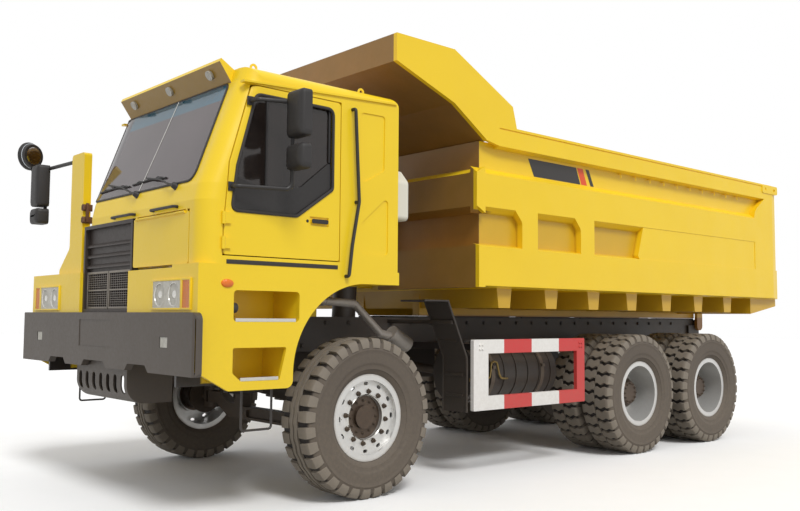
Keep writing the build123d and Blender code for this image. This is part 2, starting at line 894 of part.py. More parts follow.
# Windscreen and rear window panes
with BuildPart() as cab_glass:
    with BuildSketch(Plane.YZ.offset(screen_head_x - 2 * cab_wall)):
        with Locations((cab_mid_y, (screen_low + screen_high) / 2)):
            RectangleRounded(screen_w - 2 * pane_gap, screen_h - 2 * pane_gap, screen_r)
    extrude(amount=cab_front_x - screen_head_x + 2 * cab_wall)
    pane_in = (cab_wall + pane_t) / 2
    side_plate(
        cab_right_y, cab_left_y,
        (screen_foot_x - pane_in, screen_foot_z), (screen_foot_x - pane_in + pane_t, screen_foot_z),
        (screen_head_x - pane_in + pane_t, screen_head_z), (screen_head_x - pane_in, screen_head_z),
        mode=Mode.INTERSECT,
    )
    with BuildSketch(Plane.YZ.offset(cab_rear_x + (cab_wall - pane_t) / 2)):
        with Locations((cab_mid_y, back_window_low + back_window_h / 2)):
            RectangleRounded(back_window_w - 2 * pane_gap, back_window_h - 2 * pane_gap, screen_r)
    extrude(amount=pane_t)
cab_glass.part.label = "cab_glass"
export_step(cab_glass.part, "parts/cab_glass.step")

# Wipers: two arms with blades in front of the windscreen, on pivots in the cowl
rake_x = (screen_head_x - screen_foot_x) / (screen_head_z - screen_foot_z)
with BuildPart() as wipers:
    for y in (cab_mid_y - 90, cab_mid_y + 560):
        pivot_z = screen_foot_z + 8
        pivot_x = screen_foot_x + rake_x * 8
        wiper_plane = Plane(origin=(pivot_x, y, pivot_z), x_dir=(0, 1, 0), z_dir=(1, 0, -rake_x))
        with BuildSketch(wiper_plane):
            Circle(16)
        extrude(amount=34)
        with BuildSketch(wiper_plane.offset(18)):
            outline((-8, 0), (8, 0), (-258, 330), (-266, 322))
            outline((-420, 100), (-408, 90), (-70, 560), (-82, 570))
        extrude(amount=14)
wipers.part.label = "wipers"
export_step(wipers.part, "parts/wipers.step")

# Sun visor over the windscreen, seated on the front edge of the roof
with BuildPart() as sun_visor:
    side_plate(
        visor_right_y, visor_left_y,
        (screen_head_x + seat_gap, screen_head_z), (visor_x + visor_t / 2, visor_z - visor_t), (visor_x, visor_z),
        (screen_head_x - roof_lean + seat_gap, roof_z),
    )
sun_visor.part.label = "sun_visor"
export_step(sun_visor.part, "parts/sun_visor.step")

# Dashboard with the steering column and wheel
with BuildPart() as dashboard:
    dash_x = pocket_x - cab_wall
    side_plate(
        cab_right_y + cab_wall + 10, cab_left_y - cab_wall - 10,
        (dash_x, 2180), (dash_x, screen_foot_z - 60), (dash_x - dash_depth + 100, screen_foot_z - 20),
        (dash_x - dash_depth, 2330), (dash_x - dash_depth, 2240),
        radii=(0, 0, 30, 30, 20),
    )
    column = Plane(origin=(dash_x - dash_depth, driver_y, 2350), z_dir=(-0.77, 0, 0.64))
    with BuildSketch(column.offset(-30)):
        Circle(24)
    extrude(amount=160)
    with Locations(column.offset(130).location):
        Torus(wheel_r - wheel_tube_r, wheel_tube_r)
        Box(50, 2 * wheel_r - 2 * wheel_tube_r, 16)
        Cylinder(48, 34)
dashboard.part.label = "dashboard"
export_step(dashboard.part, "parts/dashboard.step")

# Two seats, each with its base, cushion, back and head rest
with BuildPart() as seats:
    for y in (driver_y, mate_y):
        seat_low = cab_deck_z + seat_base_h
        bar(seat_x - 190, seat_x + 190, y - 180, y + 180, cab_deck_z, seat_low)
        with BuildSketch(Plane.XZ.offset(-y - seat_w / 2)):
            outline(
                (seat_x - seat_l / 2, seat_low), (seat_x + seat_l / 2, seat_low),
                (seat_x + seat_l / 2, seat_low + seat_h), (seat_x - seat_l / 2, seat_low + seat_h),
                radii=(0, 40, 50, 0),
            )
        extrude(amount=seat_w)
        back_x = seat_x - seat_l / 2
        back_low = seat_low + seat_h - 20
        with BuildSketch(Plane.XZ.offset(-y - seat_w / 2 + 10)):
            outline(
                (back_x + back_t, back_low), (back_x, back_low),
                (back_x - back_h * 0.2, back_low + back_h), (back_x - back_h * 0.2 + back_t, back_low + back_h),
                radii=(0, 0, 40, 40),
            )
        extrude(amount=seat_w - 20)
        head_x = back_x - back_h * 0.2
        bar(head_x, head_x + 90, y - 130, y + 130, back_low + back_h - 20, back_low + back_h + 150)
seats.part.label = "seats"
export_step(seats.part, "parts/seats.step")

# Side panels with two steps let into each, and the deck on the right: name, side, inner edge of the deck
grille_left = grille_y + grille_w / 2
grille_right = grille_w / 2 - grille_y
for name, side, deck_in, front_in in (
    ("side_step_left", 1, panel_in - step_depth, grille_left + pane_gap),
    ("deck_right", -1, -cab_right_y + 30, grille_right + pane_gap),
):
    with BuildPart() as step_box:
        side_plate(
            side * panel_in, side * panel_y,
            (panel_rear_x, cab_floor_z), (panel_front_x, cab_floor_z), (panel_front_x, chin_z),
            (chin_x, panel_low), (arch_x, panel_low), (arch_x, arch_top), (panel_rear_x, arch_top),
            radii=(0, 0, 15, 30, 60, arch_r, 0),
        )
        with BuildSketch(Plane.XZ.offset(-side * (panel_in + panel_t / 2) - panel_t / 2)):
            with Locations(((step_rear_x + step_front_x) / 2, step_upper_z + step_upper_h / 2)):
                RectangleRounded(step_front_x - step_rear_x, step_upper_h, step_r)
            outline(
                (step_rear_x + 170, step_lower_z), (step_front_x - 70, step_lower_z),
                (step_front_x, step_lower_z + 60), (step_front_x, step_lower_z + step_lower_h),
                (step_rear_x + 110, step_lower_z + step_lower_h),
                radii=step_r / 2,
            )
        extrude(amount=panel_t, mode=Mode.SUBTRACT)
        back_in = panel_in - step_depth
        # Inner wall, treads, front plates, deck and brackets: x0, x1, y0, y1, z0, z1 with y outward
        for x0, x1, y0, y1, z0, z1 in (
            (arch_x + 30, panel_front_x - 40, back_in, back_in + 30, panel_low + 15, cab_floor_z),
            (arch_x + 30, panel_front_x - 40, back_in, panel_in, step_upper_z - step_plate, step_upper_z),
            (arch_x + 70, step_front_x + 8, back_in, panel_in, step_lower_z - step_plate, step_lower_z),
            (panel_front_x - 40, panel_front_x, 1150, panel_in, chin_z, bumper_high),
            (panel_front_x - 40, panel_front_x, front_in, panel_in, bumper_high, cab_floor_z - step_plate),
            (panel_rear_x, panel_front_x, deck_in, panel_in, cab_floor_z - step_plate, cab_floor_z),
            (3880, 3960, rail_out_y, back_in, rail_top - 80, rail_top),
            (2500, 2570, rail_y - rail_w / 2, panel_in, arch_top, cab_floor_z - step_plate),
            (2500, 2570, rail_y - rail_w / 2, rail_out_y, rail_top, arch_top),
        ):
            bar(x0, x1, side * y0, side * y1, z0, z1)
        # Pockets for the lamps
        for y, w in ((lamp_y, lamp_w), (amber_y, amber_w)):
            bar(panel_front_x - lamp_depth + 10, panel_front_x, side * y - w / 2, side * y + w / 2,
                lamp_z - lamp_h / 2, lamp_z + lamp_h / 2, mode=Mode.SUBTRACT)
        # Stirrup step below the panel
        rod(
            (3640, side * stirrup_y, step_lower_z - step_plate / 2), (3640, side * stirrup_y, stirrup_z),
            (3900, side * stirrup_y, stirrup_z), (3900, side * stirrup_y, step_lower_z - step_plate / 2),
            bend=25, r=stirrup_r,
        )
    step_box.part.label = name
    export_step(step_box.part, "parts/" + name + ".step")

# Lamps: head lamps with two bowls, ambers, bumper lamps, and three under the visor
with BuildPart() as headlamps:
    lamp_back_x = panel_front_x - lamp_depth + 10
    for side in (1, -1):
        for y, w in ((side * lamp_y, lamp_w), (side * amber_y, amber_w)):
            with BuildSketch(Plane.YZ.offset(lamp_back_x)):
                with Locations((y, lamp_z)):
                    RectangleRounded(w - 2 * pane_gap, lamp_h - 2 * pane_gap, 18)
            extrude(amount=lamp_depth)
        with BuildSketch(Plane.YZ.offset(lamp_face_x)):
            with Locations((side * lamp_y - lamp_w / 4, lamp_z), (side * lamp_y + lamp_w / 4, lamp_z)):
                Circle(lamp_h * 0.42)
        extrude(amount=-8, mode=Mode.SUBTRACT)
        bar(bumper_x - fog_depth, bumper_x - 4, side * fog_y - fog_w / 2 + pane_gap, side * fog_y + fog_w / 2 - pane_gap,
            fog_z - fog_h / 2 + pane_gap, fog_z + fog_h / 2 - pane_gap)
    under_x = visor_x + visor_t / 2 - screen_head_x
    under_z = visor_z - visor_t - screen_head_z
    for share in (0.12, 0.5, 0.88):
        y = visor_right_y + share * (visor_left_y - visor_right_y)
        place = (screen_head_x + 3 * seat_gap + under_x * 0.6, y, screen_head_z + under_z * 0.6)
        with BuildSketch(Plane(origin=place, x_dir=(0, 1, 0), z_dir=(under_z, 0, -under_x))):
            Circle(visor_lamp_r)
        extrude(amount=20)
headlamps.part.label = "headlamps"
export_step(headlamps.part, "parts/headlamps.step")

# Flap below the windscreen, hung on a barrel along its top edge
with BuildPart() as front_flap:
    front_plate(
        pocket_x + door_gap, cab_front_x + 1,
        (flap_y - flap_w / 2, cab_floor_z + 4), (flap_y + flap_w / 2, cab_floor_z + 4),
        (flap_y + flap_w / 2, flap_hinge_z), (flap_y - flap_w / 2, flap_hinge_z),
        radii=(20, 20, 0, 0),
    )
    bar(cab_front_x - 8, flap_hinge_x, flap_y - flap_barrel_l / 2, flap_y + flap_barrel_l / 2,
        flap_hinge_z - 12, flap_hinge_z)
    round_bar("y", (flap_hinge_x, flap_y, flap_hinge_z), flap_hinge_r, flap_barrel_l)
front_flap.part.label = "front_flap"
export_step(front_flap.part, "parts/front_flap.step")

# Grab rails: one behind each door, and handles on the cowl
with BuildPart() as grab_rails:
    # Rails behind the doors: side, face of the cab, lower end
    for side, face_y, low_z in ((1, cab_left_y, cab_floor_z - 50), (-1, -cab_right_y, cab_floor_z + 75)):
        near_y = side * (face_y + seat_gap)
        far_y = side * (face_y + grab_out)
        rod(
            (2990, near_y, 3150), (2990, far_y, 3150), (2945, far_y, 2400), (3010, far_y, 2050),
            (3040, far_y, low_z), (3040, near_y, low_z),
            bend=(20, 60, 60, 20), r=grab_r,
        )
        round_bar("y", (2945, (near_y + far_y) / 2, 2400), grab_r, grab_out - seat_gap)
    near_x = cab_front_x + seat_gap
    far_x = cab_front_x + grab_out - 10
    grab_z = cowl_low + 28
    for y0, y1 in ((cab_mid_y - 440, cab_mid_y - 60), (cab_mid_y + 270, cab_mid_y + 650)):
        rod((near_x, y0, grab_z), (far_x, y0, grab_z), (far_x, y1, grab_z), (near_x, y1, grab_z), bend=20, r=grab_r * 0.8)
grab_rails.part.label = "grab_rails"
export_step(grab_rails.part, "parts/grab_rails.step")

# Right mirror mast: a box post on the deck with an arm, a round mirror and two square ones
with BuildPart() as mirror_mast:
    mast_x = mast_rear_x + mast_t
    front_plate(
        mast_rear_x, mast_x,
        (mast_foot_y, cab_floor_z), (mast_foot_y, cab_floor_z + 40), (mast_outer_y, cab_floor_z + 230),
        (mast_outer_y, mast_top), (mast_inner_y, mast_top), (mast_inner_y, cab_floor_z),
        radii=(0, 30, 60, 30, 30, 0),
    )
    front_plate(
        mast_rear_x, mast_x - mast_wall,
        (mast_outer_y + mast_wall, cab_floor_z + 245), (mast_outer_y + mast_wall, mast_top - mast_wall),
        (mast_inner_y - mast_wall, mast_top - mast_wall), (mast_inner_y - mast_wall, cab_floor_z + 245),
        mode=Mode.SUBTRACT,
    )
    top_arm_z = mast_top - 50
    top_arm_x = mast_rear_x + mast_t / 2
    rod((top_arm_x, mast_outer_y + 2, top_arm_z), (top_arm_x, tall_mirror_y, top_arm_z + 20), (top_arm_x, round_mirror_y, top_arm_z + 60),
        (top_arm_x + 30, round_mirror_y, round_mirror_z), bend=(50, 40), r=mirror_arm_r)
    round_bar("z", (top_arm_x, tall_mirror_y, (top_arm_z + small_mirror_z) / 2), mirror_arm_r, top_arm_z - small_mirror_z + 40)
    for z, h in ((tall_mirror_z, tall_mirror_h), (small_mirror_z, small_mirror_h)):
        with BuildSketch(Plane.YZ.offset(top_arm_x)):
            with Locations((tall_mirror_y, z)):
                RectangleRounded(tall_mirror_w, h, mirror_r)
        extrude(amount=mirror_t)
    with BuildSketch(Plane(origin=(top_arm_x + 30, round_mirror_y, round_mirror_z), z_dir=(-0.37, 0.93, 0))) as disc:
        Circle(round_mirror_r)
    extrude(amount=round_mirror_t, taper=25)
    extrude(disc.sketch, amount=-8)
mirror_mast.part.label = "mirror_mast"
export_step(mirror_mast.part, "parts/mirror_mast.step")

# Expansion tank on the back of the cab
with BuildPart() as expansion_tank:
    tank_y = cab_left_y - header_tank_w / 2 - 40
    with BuildSketch(Plane.YZ.offset(cab_rear_x - header_tank_t)):
        outline(
            (tank_y - header_tank_w / 2, 2300), (tank_y + header_tank_w / 2, 2300),
            (tank_y + header_tank_w / 2, 2300 + header_tank_h * 0.75),
            (tank_y + header_tank_w / 4, 2300 + header_tank_h), (tank_y - header_tank_w / 2, 2300 + header_tank_h),
            radii=(40, 40, 60, 40, 40),
        )
    extrude(amount=header_tank_t)
    round_bar("z", (cab_rear_x - header_tank_t / 2, tank_y - 60, 2300 + header_tank_h), 40, 60)
expansion_tank.part.label = "expansion_tank"
export_step(expansion_tank.part, "parts/expansion_tank.step")

# Fuel tank on the left: a ribbed cylinder on two brackets
with BuildPart() as fuel_tank:
    round_bar("x", (fuel_x, fuel_y, fuel_z), fuel_r, fuel_l)
    rib_first_x = fuel_x - (fuel_rib_count - 1) * fuel_rib_pitch / 2
    for number in range(fuel_rib_count):
        round_bar("x", (rib_first_x + number * fuel_rib_pitch, fuel_y, fuel_z), fuel_rib_r, fuel_rib_w)
    bracket_z = fuel_z + fuel_r - 10
    for x in (fuel_x - 380, fuel_x + 370):
        bar(x - 40, x + 40, rail_out_y, fuel_y, bracket_z, bracket_z + 40)
        bar(x - 40, x + 40, rail_out_y, rail_out_y + 120, bracket_z - 60, bracket_z)
    round_bar("z", (fuel_x + 480, fuel_y, fuel_z + fuel_r + 10), 55, 60)
fuel_tank.part.label = "fuel_tank"
export_step(fuel_tank.part, "parts/fuel_tank.step")

# Oil tank and battery box on the right, under a carrier bolted to the rail
with BuildPart() as oil_tank:
    tank_top = rail_bottom + 90
    bar(battery_x - battery_l / 2, oil_x + oil_l / 2, -rail_out_y, -rail_out_y - 240, tank_top - 60, tank_top)
    for x, l, w, h in ((oil_x, oil_l, oil_w, oil_h), (battery_x, battery_l, battery_w, battery_h)):
        with BuildSketch(Plane.YZ.offset(x - l / 2)):
            with Locations((-rail_out_y - 100 - w / 2, tank_top - h / 2)):
                RectangleRounded(w, h, 50)
        extrude(amount=l)
    round_bar("z", (oil_x, -rail_out_y - 100 - oil_w / 2, tank_top), 60, 60)
oil_tank.part.label = "oil_tank"
export_step(oil_tank.part, "parts/oil_tank.step")

# Side guards between the axles: two bars and two posts, on arms from the rails
with BuildPart() as side_guards:
    for side in (1, -1):
        y0 = side * (guard_bar_y - guard_bar_t / 2)
        y1 = side * (guard_bar_y + guard_bar_t / 2)
        side_plate(
            y0, y1,
            (guard_back_x, guard_bar_low), (guard_front_x, guard_bar_low),
            (guard_front_x, guard_bar_high), (guard_back_x, guard_bar_high),
            radii=12,
        )
        side_plate(
            y0, y1,
            (guard_back_x + guard_post_rear, guard_bar_low + guard_bar_h),
            (guard_front_x - guard_post_front, guard_bar_low + guard_bar_h),
            (guard_front_x - guard_post_front, guard_bar_high - guard_bar_h),
            (guard_back_x + guard_post_rear, guard_bar_high - guard_bar_h),
            mode=Mode.SUBTRACT,
        )
        for x in (guard_back_x + guard_post_rear / 2, guard_front_x - guard_post_front / 2):
            bar(x - 30, x + 30, side * rail_out_y, y0, guard_bar_high - 100, guard_bar_high - 40)
side_guards.part.label = "side_guards"
export_step(side_guards.part, "parts/side_guards.step")

# Mudguards behind the front wheels
with BuildPart() as mudguards:
    for side in (1, -1):
        side_plate(
            side * (mud_y - mud_w / 2), side * (mud_y + mud_w / 2),
            (1990, 1640), (1690, 1640), (1440, 1110), (1440, 607), (1440 + mud_t, 607), (1440 + mud_t, 1107),
            (1698, 1640 - mud_t), (1990, 1640 - mud_t),
        )
        bar(1570, 1630, side * rail_out_y, side * (mud_y + mud_w / 4), 1420, 1460)
mudguards.part.label = "mudguards"
export_step(mudguards.part, "parts/mudguards.step")

# Front axle: a dropped I-beam with spring seats and an eye for each kingpin
with BuildPart() as front_axle:
    beam_top = axle_z + beam_drop
    beam_low = axle_z - beam_drop
    dip_top = beam_top - 90
    dip_low = dip_top - beam_h - 20
    beam_points = []
    for side in (-1, 1):
        half = [
            (side * (kingpin_y - 20), beam_low), (side * (kingpin_y - 20), beam_top), (side * 820, beam_top),
            (side * 620, dip_top), (side * (rail_y + 70), dip_top), (side * (rail_y + 50), axle_z + seat_up),
            (side * (rail_y - 50), axle_z + seat_up), (side * (rail_y - 70), dip_top - 20),
        ]
        beam_points += half if side < 0 else half[::-1]
    beam_points += [(860, beam_low), (640, dip_low), (-640, dip_low), (-860, beam_low)]
    front_plate(front_axle_x - beam_l / 2, front_axle_x + beam_l / 2, *beam_points)
    # Pockets on both faces of the beam's middle
    for x in (front_axle_x - beam_l / 2, front_axle_x + beam_web / 2):
        with BuildSketch(Plane.YZ.offset(x)):
            with Locations((0, (dip_top - 20 + dip_low) / 2)):
                RectangleRounded(600, dip_top - 20 - dip_low - 50, 20)
        extrude(amount=(beam_l - beam_web) / 2, mode=Mode.SUBTRACT)
    for side in (1, -1):
        round_bar("z", (front_axle_x, side * kingpin_y, axle_z), king_boss_r, king_boss_h)
        round_bar("z", (front_axle_x, side * kingpin_y, axle_z), kingpin_r + fit_gap, king_boss_h + 20,
                  mode=Mode.SUBTRACT)
front_axle.part.label = "front_axle"
export_step(front_axle.part, "parts/front_axle.step")

# Leaf springs: front packs curve up to eyes in the hangers, rear packs arch over the trunnion
front_leaf_z = seat_z + (front_leaves - 0.5) * leaf_t
front_rise = spring_eye_z - front_leaf_z
front_leaf_r = (front_spring_half**2 + front_rise**2) / (2 * front_rise)
front_centre = (front_axle_x, front_leaf_z + front_leaf_r)
rear_leaf_r = (rear_spring_half**2 + rear_arch**2) / (2 * rear_arch)
rear_centre = (trunnion_x, saddle_z - rear_leaf_r)
with BuildPart() as leaf_springs:
    for side in (1, -1):
        with BuildSketch(Plane.XZ.offset(-side * rail_y - leaf_w / 2)):
            for number in range(front_leaves):
                near_r = front_leaf_r + (number - 0.5) * leaf_t
                share = (front_leaves - number + 1) / (front_leaves + 1)
                half_angle = share * degrees(asin(front_spring_half / front_leaf_r))
                leaf(front_centre, near_r, near_r + leaf_t, 270, half_angle)
            for number in range(rear_leaves):
                near_r = rear_leaf_r + number * leaf_t
                share = (rear_leaves - number + 1) / (rear_leaves + 1)
                half_angle = share * degrees(asin(rear_spring_half / rear_leaf_r))
                leaf(rear_centre, near_r, near_r + leaf_t, 90, half_angle)
        extrude(amount=leaf_w)
        for x in (front_axle_x - front_spring_half, front_axle_x + front_spring_half):
            round_bar("y", (x, side * rail_y, spring_eye_z), eye_r, leaf_w)
leaf_springs.part.label = "leaf_springs"
export_step(leaf_springs.part, "parts/leaf_springs.step")

# Rear axles: tubes with a round bowl, spring seats, and a nose for each shaft
with BuildPart() as rear_axles:
    for axle_x, out in ((middle_axle_x, 1), (rear_axle_x, -1)):
        round_bar("y", (axle_x, 0, axle_z), rear_tube_r, 2 * rear_tube_half)
        round_bar("y", (axle_x, 0, axle_z), rear_spindle_r, 2 * rear_spindle_half)
        with BuildSketch(Plane.XZ):
            outline(
                (axle_x - bowl_l / 2, axle_z), (axle_x - bowl_l / 2, axle_z + bowl_r - bowl_rim),
                (axle_x - bowl_l / 2 + bowl_rim, axle_z + bowl_r), (axle_x + bowl_l / 2 - bowl_rim, axle_z + bowl_r),
                (axle_x + bowl_l / 2, axle_z + bowl_r - bowl_rim), (axle_x + bowl_l / 2, axle_z),
            )
        revolve(axis=Axis((axle_x, 0, axle_z), (1, 0, 0)))
        # Seats follow the slope of the lowest leaf
        near_x = rear_spring_half - spring_seat_l
        far_x = rear_spring_half - 10
        near_z = rear_centre[1] + sqrt(rear_leaf_r**2 - near_x**2) - seat_gap
        far_z = rear_centre[1] + sqrt(rear_leaf_r**2 - far_x**2) - seat_gap
        for side in (1, -1):
            side_plate(
                side * (rail_y - leaf_w / 2), side * (rail_y + leaf_w / 2),
                (trunnion_x + out * near_x, axle_z), (trunnion_x + out * far_x, axle_z),
                (trunnion_x + out * far_x, far_z), (trunnion_x + out * near_x, near_z),
            )
    round_bar("x", (middle_axle_x + nose_out / 2, 0, nose_z), nose_r, nose_out)
rear_axles.part.label = "rear_axles"
export_step(rear_axles.part, "parts/rear_axles.step")

# Propeller shafts with their joints
shaft_front_x = gearbox_rear_x - joint_l / 2
shaft_rear_x = middle_axle_x + nose_out + joint_l / 2
shaft_dx = shaft_rear_x - shaft_front_x
shaft_dz = nose_z - gearbox_end_z
with BuildPart() as propeller_shaft:
    with BuildSketch(
        Plane(origin=(shaft_front_x, 0, gearbox_end_z), x_dir=(0, 1, 0), z_dir=(shaft_dx, 0, shaft_dz))
    ):
        Circle(shaft_r)
    extrude(amount=hypot(shaft_dx, shaft_dz))
    for x, z in ((shaft_front_x, gearbox_end_z), (shaft_rear_x, nose_z)):
        round_bar("x", (x, 0, z), joint_r, joint_l)
    round_bar("x", (trunnion_x, 0, axle_z), shaft_r * 0.9, middle_to_rear - bowl_l)
propeller_shaft.part.label = "propeller_shaft"
export_step(propeller_shaft.part, "parts/propeller_shaft.step")

# Steering knuckles: two lugs round the axle's eye, kingpin, plate, spindle, brake plate and arm
lug_offset = king_boss_h / 2 + face_gap + knuckle_lug_h / 2
kingpin_l = king_boss_h + 2 * face_gap + 2 * knuckle_lug_h
plate_in = kingpin_y + knuckle_plate_out
for name, side in (("knuckle_left", 1), ("knuckle_right", -1)):
    with BuildPart() as knuckle:
        round_bar("z", (front_axle_x, side * kingpin_y, axle_z), kingpin_r, kingpin_l)
        for z in (axle_z - lug_offset, axle_z + lug_offset):
            flat_low = z - knuckle_lug_h / 2
            round_bar("z", (front_axle_x, side * kingpin_y, z), knuckle_lug_r, knuckle_lug_h)
            bar(front_axle_x - knuckle_lug_r, front_axle_x + knuckle_lug_r, side * kingpin_y,
                side * (plate_in + knuckle_plate_t / 2), flat_low, flat_low + knuckle_lug_h)
        bar(front_axle_x - knuckle_lug_r, front_axle_x + knuckle_lug_r, side * plate_in,
            side * (plate_in + knuckle_plate_t), axle_z - kingpin_l / 2, axle_z + kingpin_l / 2)
        round_bar("y", (front_axle_x, side * (plate_in + spindle_l / 2), axle_z), spindle_r, spindle_l)
        round_bar("y", (front_axle_x, side * brake_y, axle_z), brake_r, brake_t)
        bar(front_axle_x - arm_back, front_axle_x, side * kingpin_y - arm_w / 2, side * kingpin_y + arm_w / 2,
            arm_z - arm_h / 2, arm_z + arm_h / 2)
        round_bar("z", (front_axle_x - arm_back, side * kingpin_y, arm_z), ball_r + ball_wall, arm_h)
        round_bar("z", (front_axle_x - arm_back, side * kingpin_y, arm_z), ball_r + fit_gap, 2 * arm_h,
                  mode=Mode.SUBTRACT)
    knuckle.part.label = name
    export_step(knuckle.part, "parts/" + name + ".step")

# Tie rod behind the axle, with a ball pin up into each arm
with BuildPart() as tie_rod:
    round_bar("y", (front_axle_x - arm_back, 0, tie_z), tie_r, 2 * kingpin_y + 60)
    pin_top = arm_z + arm_h / 2
    for side in (1, -1):
        round_bar("z", (front_axle_x - arm_back, side * kingpin_y, (tie_z + pin_top) / 2), ball_r, pin_top - tie_z)
tie_rod.part.label = "tie_rod"
export_step(tie_rod.part, "parts/tie_rod.step")

# One tyre about its own axle: a carcass with flat facets, one under each lug
lug_w = 2 * pi * tyre_r / lug_count - groove_w
with BuildPart() as lug:
    with BuildSketch(Plane.XZ):
        outline(
            (side_high_r, -tyre_half), (tyre_r, -tread_half), (tyre_r, tread_half), (side_high_r, tyre_half),
            (tyre_r - 2 * lug_h, tread_half - lug_h), (tyre_r - 2 * lug_h, -tread_half + lug_h),
        )
    extrude(amount=lug_w / 2, both=True)
facet_turn = 180 / lug_count
with BuildPart() as tyre:
    # Sections of the carcass: place along the axle, radius
    for z, r in (
        (-tyre_half, side_high_r), (-tread_half, tyre_r - lug_h),
        (tread_half, tyre_r - lug_h), (tyre_half, side_high_r),
    ):
        with BuildSketch(Plane.XY.offset(z)):
            RegularPolygon(r, lug_count, major_radius=False, rotation=facet_turn)
    loft(ruled=True)
    with PolarLocations(0, lug_count):
        add(lug.part)
    # Sidewalls run in to the beads, and the beads sit round the rim
    for z0, z1 in ((-bead_half, -tyre_half), (bead_half, tyre_half)):
        for z, r in ((z0, flange_r + 1), (z1, side_low_r)):
            with BuildSketch(Plane.XY.offset(z)):
                RegularPolygon(r, lug_count, major_radius=False, rotation=facet_turn)
        loft(ruled=True, mode=Mode.SUBTRACT)
    with BuildSketch(Plane.XY.offset(-tyre_half)):
        RegularPolygon(bead_r + seat_gap, lug_count, major_radius=False, rotation=facet_turn)
    extrude(amount=tyre_w, mode=Mode.SUBTRACT)

# Front rim: barrel with flanges, disc with hand holes, and a hub let in behind a round window
window_wall_r = hub_window_r + disc_t * 0.75
with BuildPart() as front_rim:
    with BuildSketch(Plane.XZ):
        outline(
            (spindle_r + fit_gap, -hub_in), (hub_r, -hub_in), (hub_r, hub_floor_y - 20),
            (window_wall_r, hub_floor_y - 20), (window_wall_r, front_disc_y), (rim_in_r, front_disc_y),
            (rim_in_r, -flange_y), (flange_r, -flange_y), (flange_r, -bead_half), (bead_r, -bead_half),
            (bead_r, bead_half), (flange_r, bead_half), (flange_r, flange_y), (rim_in_r, flange_y),
            (rim_in_r, front_disc_y + disc_t), (hub_window_r, front_disc_y + disc_t),
            (hub_window_r, hub_floor_y), (hub_cap_r, hub_floor_y), (hub_cap_r, hub_floor_y + hub_cap_h),
            (0, hub_floor_y + hub_cap_h), (0, hub_floor_y - 10), (spindle_r + fit_gap, hub_floor_y - 10),
        )
    revolve(axis=Axis.Z)
    with BuildSketch(Plane.XY.offset(front_disc_y)):
        with PolarLocations(hand_hole_r, hand_hole_count):
            SlotOverall(hand_hole_l, hand_hole_w, rotation=90)
    extrude(amount=disc_t, mode=Mode.SUBTRACT)

# Rear rims: two barrels in one, with the disc deep inside and the hub standing out of it
outer_edge = twin_half + flange_y
inner_edge = -twin_half - flange_y
with BuildPart() as twin_rim:
    with BuildSketch(Plane.XZ):
        outline(
            (rear_spindle_r + fit_gap, -rear_hub_in), (rear_hub_r, -rear_hub_in), (rear_hub_r, -rear_disc_t),
            (rim_in_r, -rear_disc_t), (rim_in_r, inner_edge), (flange_r, inner_edge),
            (flange_r, inner_edge + flange_t), (bead_r, inner_edge + flange_t),
            (bead_r, -twin_half + bead_half), (flange_r, -twin_half + bead_half),
            (flange_r, -twin_half + flange_y), (bead_r, -twin_half + flange_y),
            (bead_r, twin_half - flange_y), (flange_r, twin_half - flange_y),
            (flange_r, twin_half - bead_half), (bead_r, twin_half - bead_half),
            (bead_r, outer_edge - flange_t), (flange_r, outer_edge - flange_t), (flange_r, outer_edge),
            (rim_in_r, outer_edge), (rim_in_r, 0), (rear_hub_r, 0), (rear_hub_r, rear_hub_out - 60),
            (rear_hub_r - 45, rear_hub_out), (0, rear_hub_out), (0, rear_bore_end),
            (rear_spindle_r + fit_gap, rear_bore_end),
        )
    revolve(axis=Axis.Z)
    with BuildSketch(Plane.XY.offset(-rear_disc_t)):
        with PolarLocations(rear_hole_r, rear_hole_count):
            SlotOverall(rear_hole_l, rear_hole_w, rotation=90)
    extrude(amount=rear_disc_t, mode=Mode.SUBTRACT)

# Wheels in place: rim node, tyre node, place along, place across, tyre offsets along the axle
for rim_name, tyre_name, rim, axle_x, y, tyre_places in (
    ("rim_front_", "tyre_front_", front_rim, front_axle_x, front_track_y, (0,)),
    ("rims_middle_", "tyres_middle_", twin_rim, middle_axle_x, twin_y, (-twin_half, twin_half)),
    ("rims_rear_", "tyres_rear_", twin_rim, rear_axle_x, twin_y, (-twin_half, twin_half)),
):
    for name, side in (("left", 1), ("right", -1)):
        wheel_place = Location((axle_x, side * y, axle_z), (-side * 90, 0, 0))
        placed_rim = wheel_place * rim.part
        placed_rim.label = rim_name + name
        export_step(placed_rim, "parts/" + rim_name + name + ".step")
        placed_tyres = Compound([wheel_place * Pos(0, 0, z) * tyre.part for z in tyre_places])
        placed_tyres.label = tyre_name + name
        export_step(placed_tyres, "parts/" + tyre_name + name + ".step")

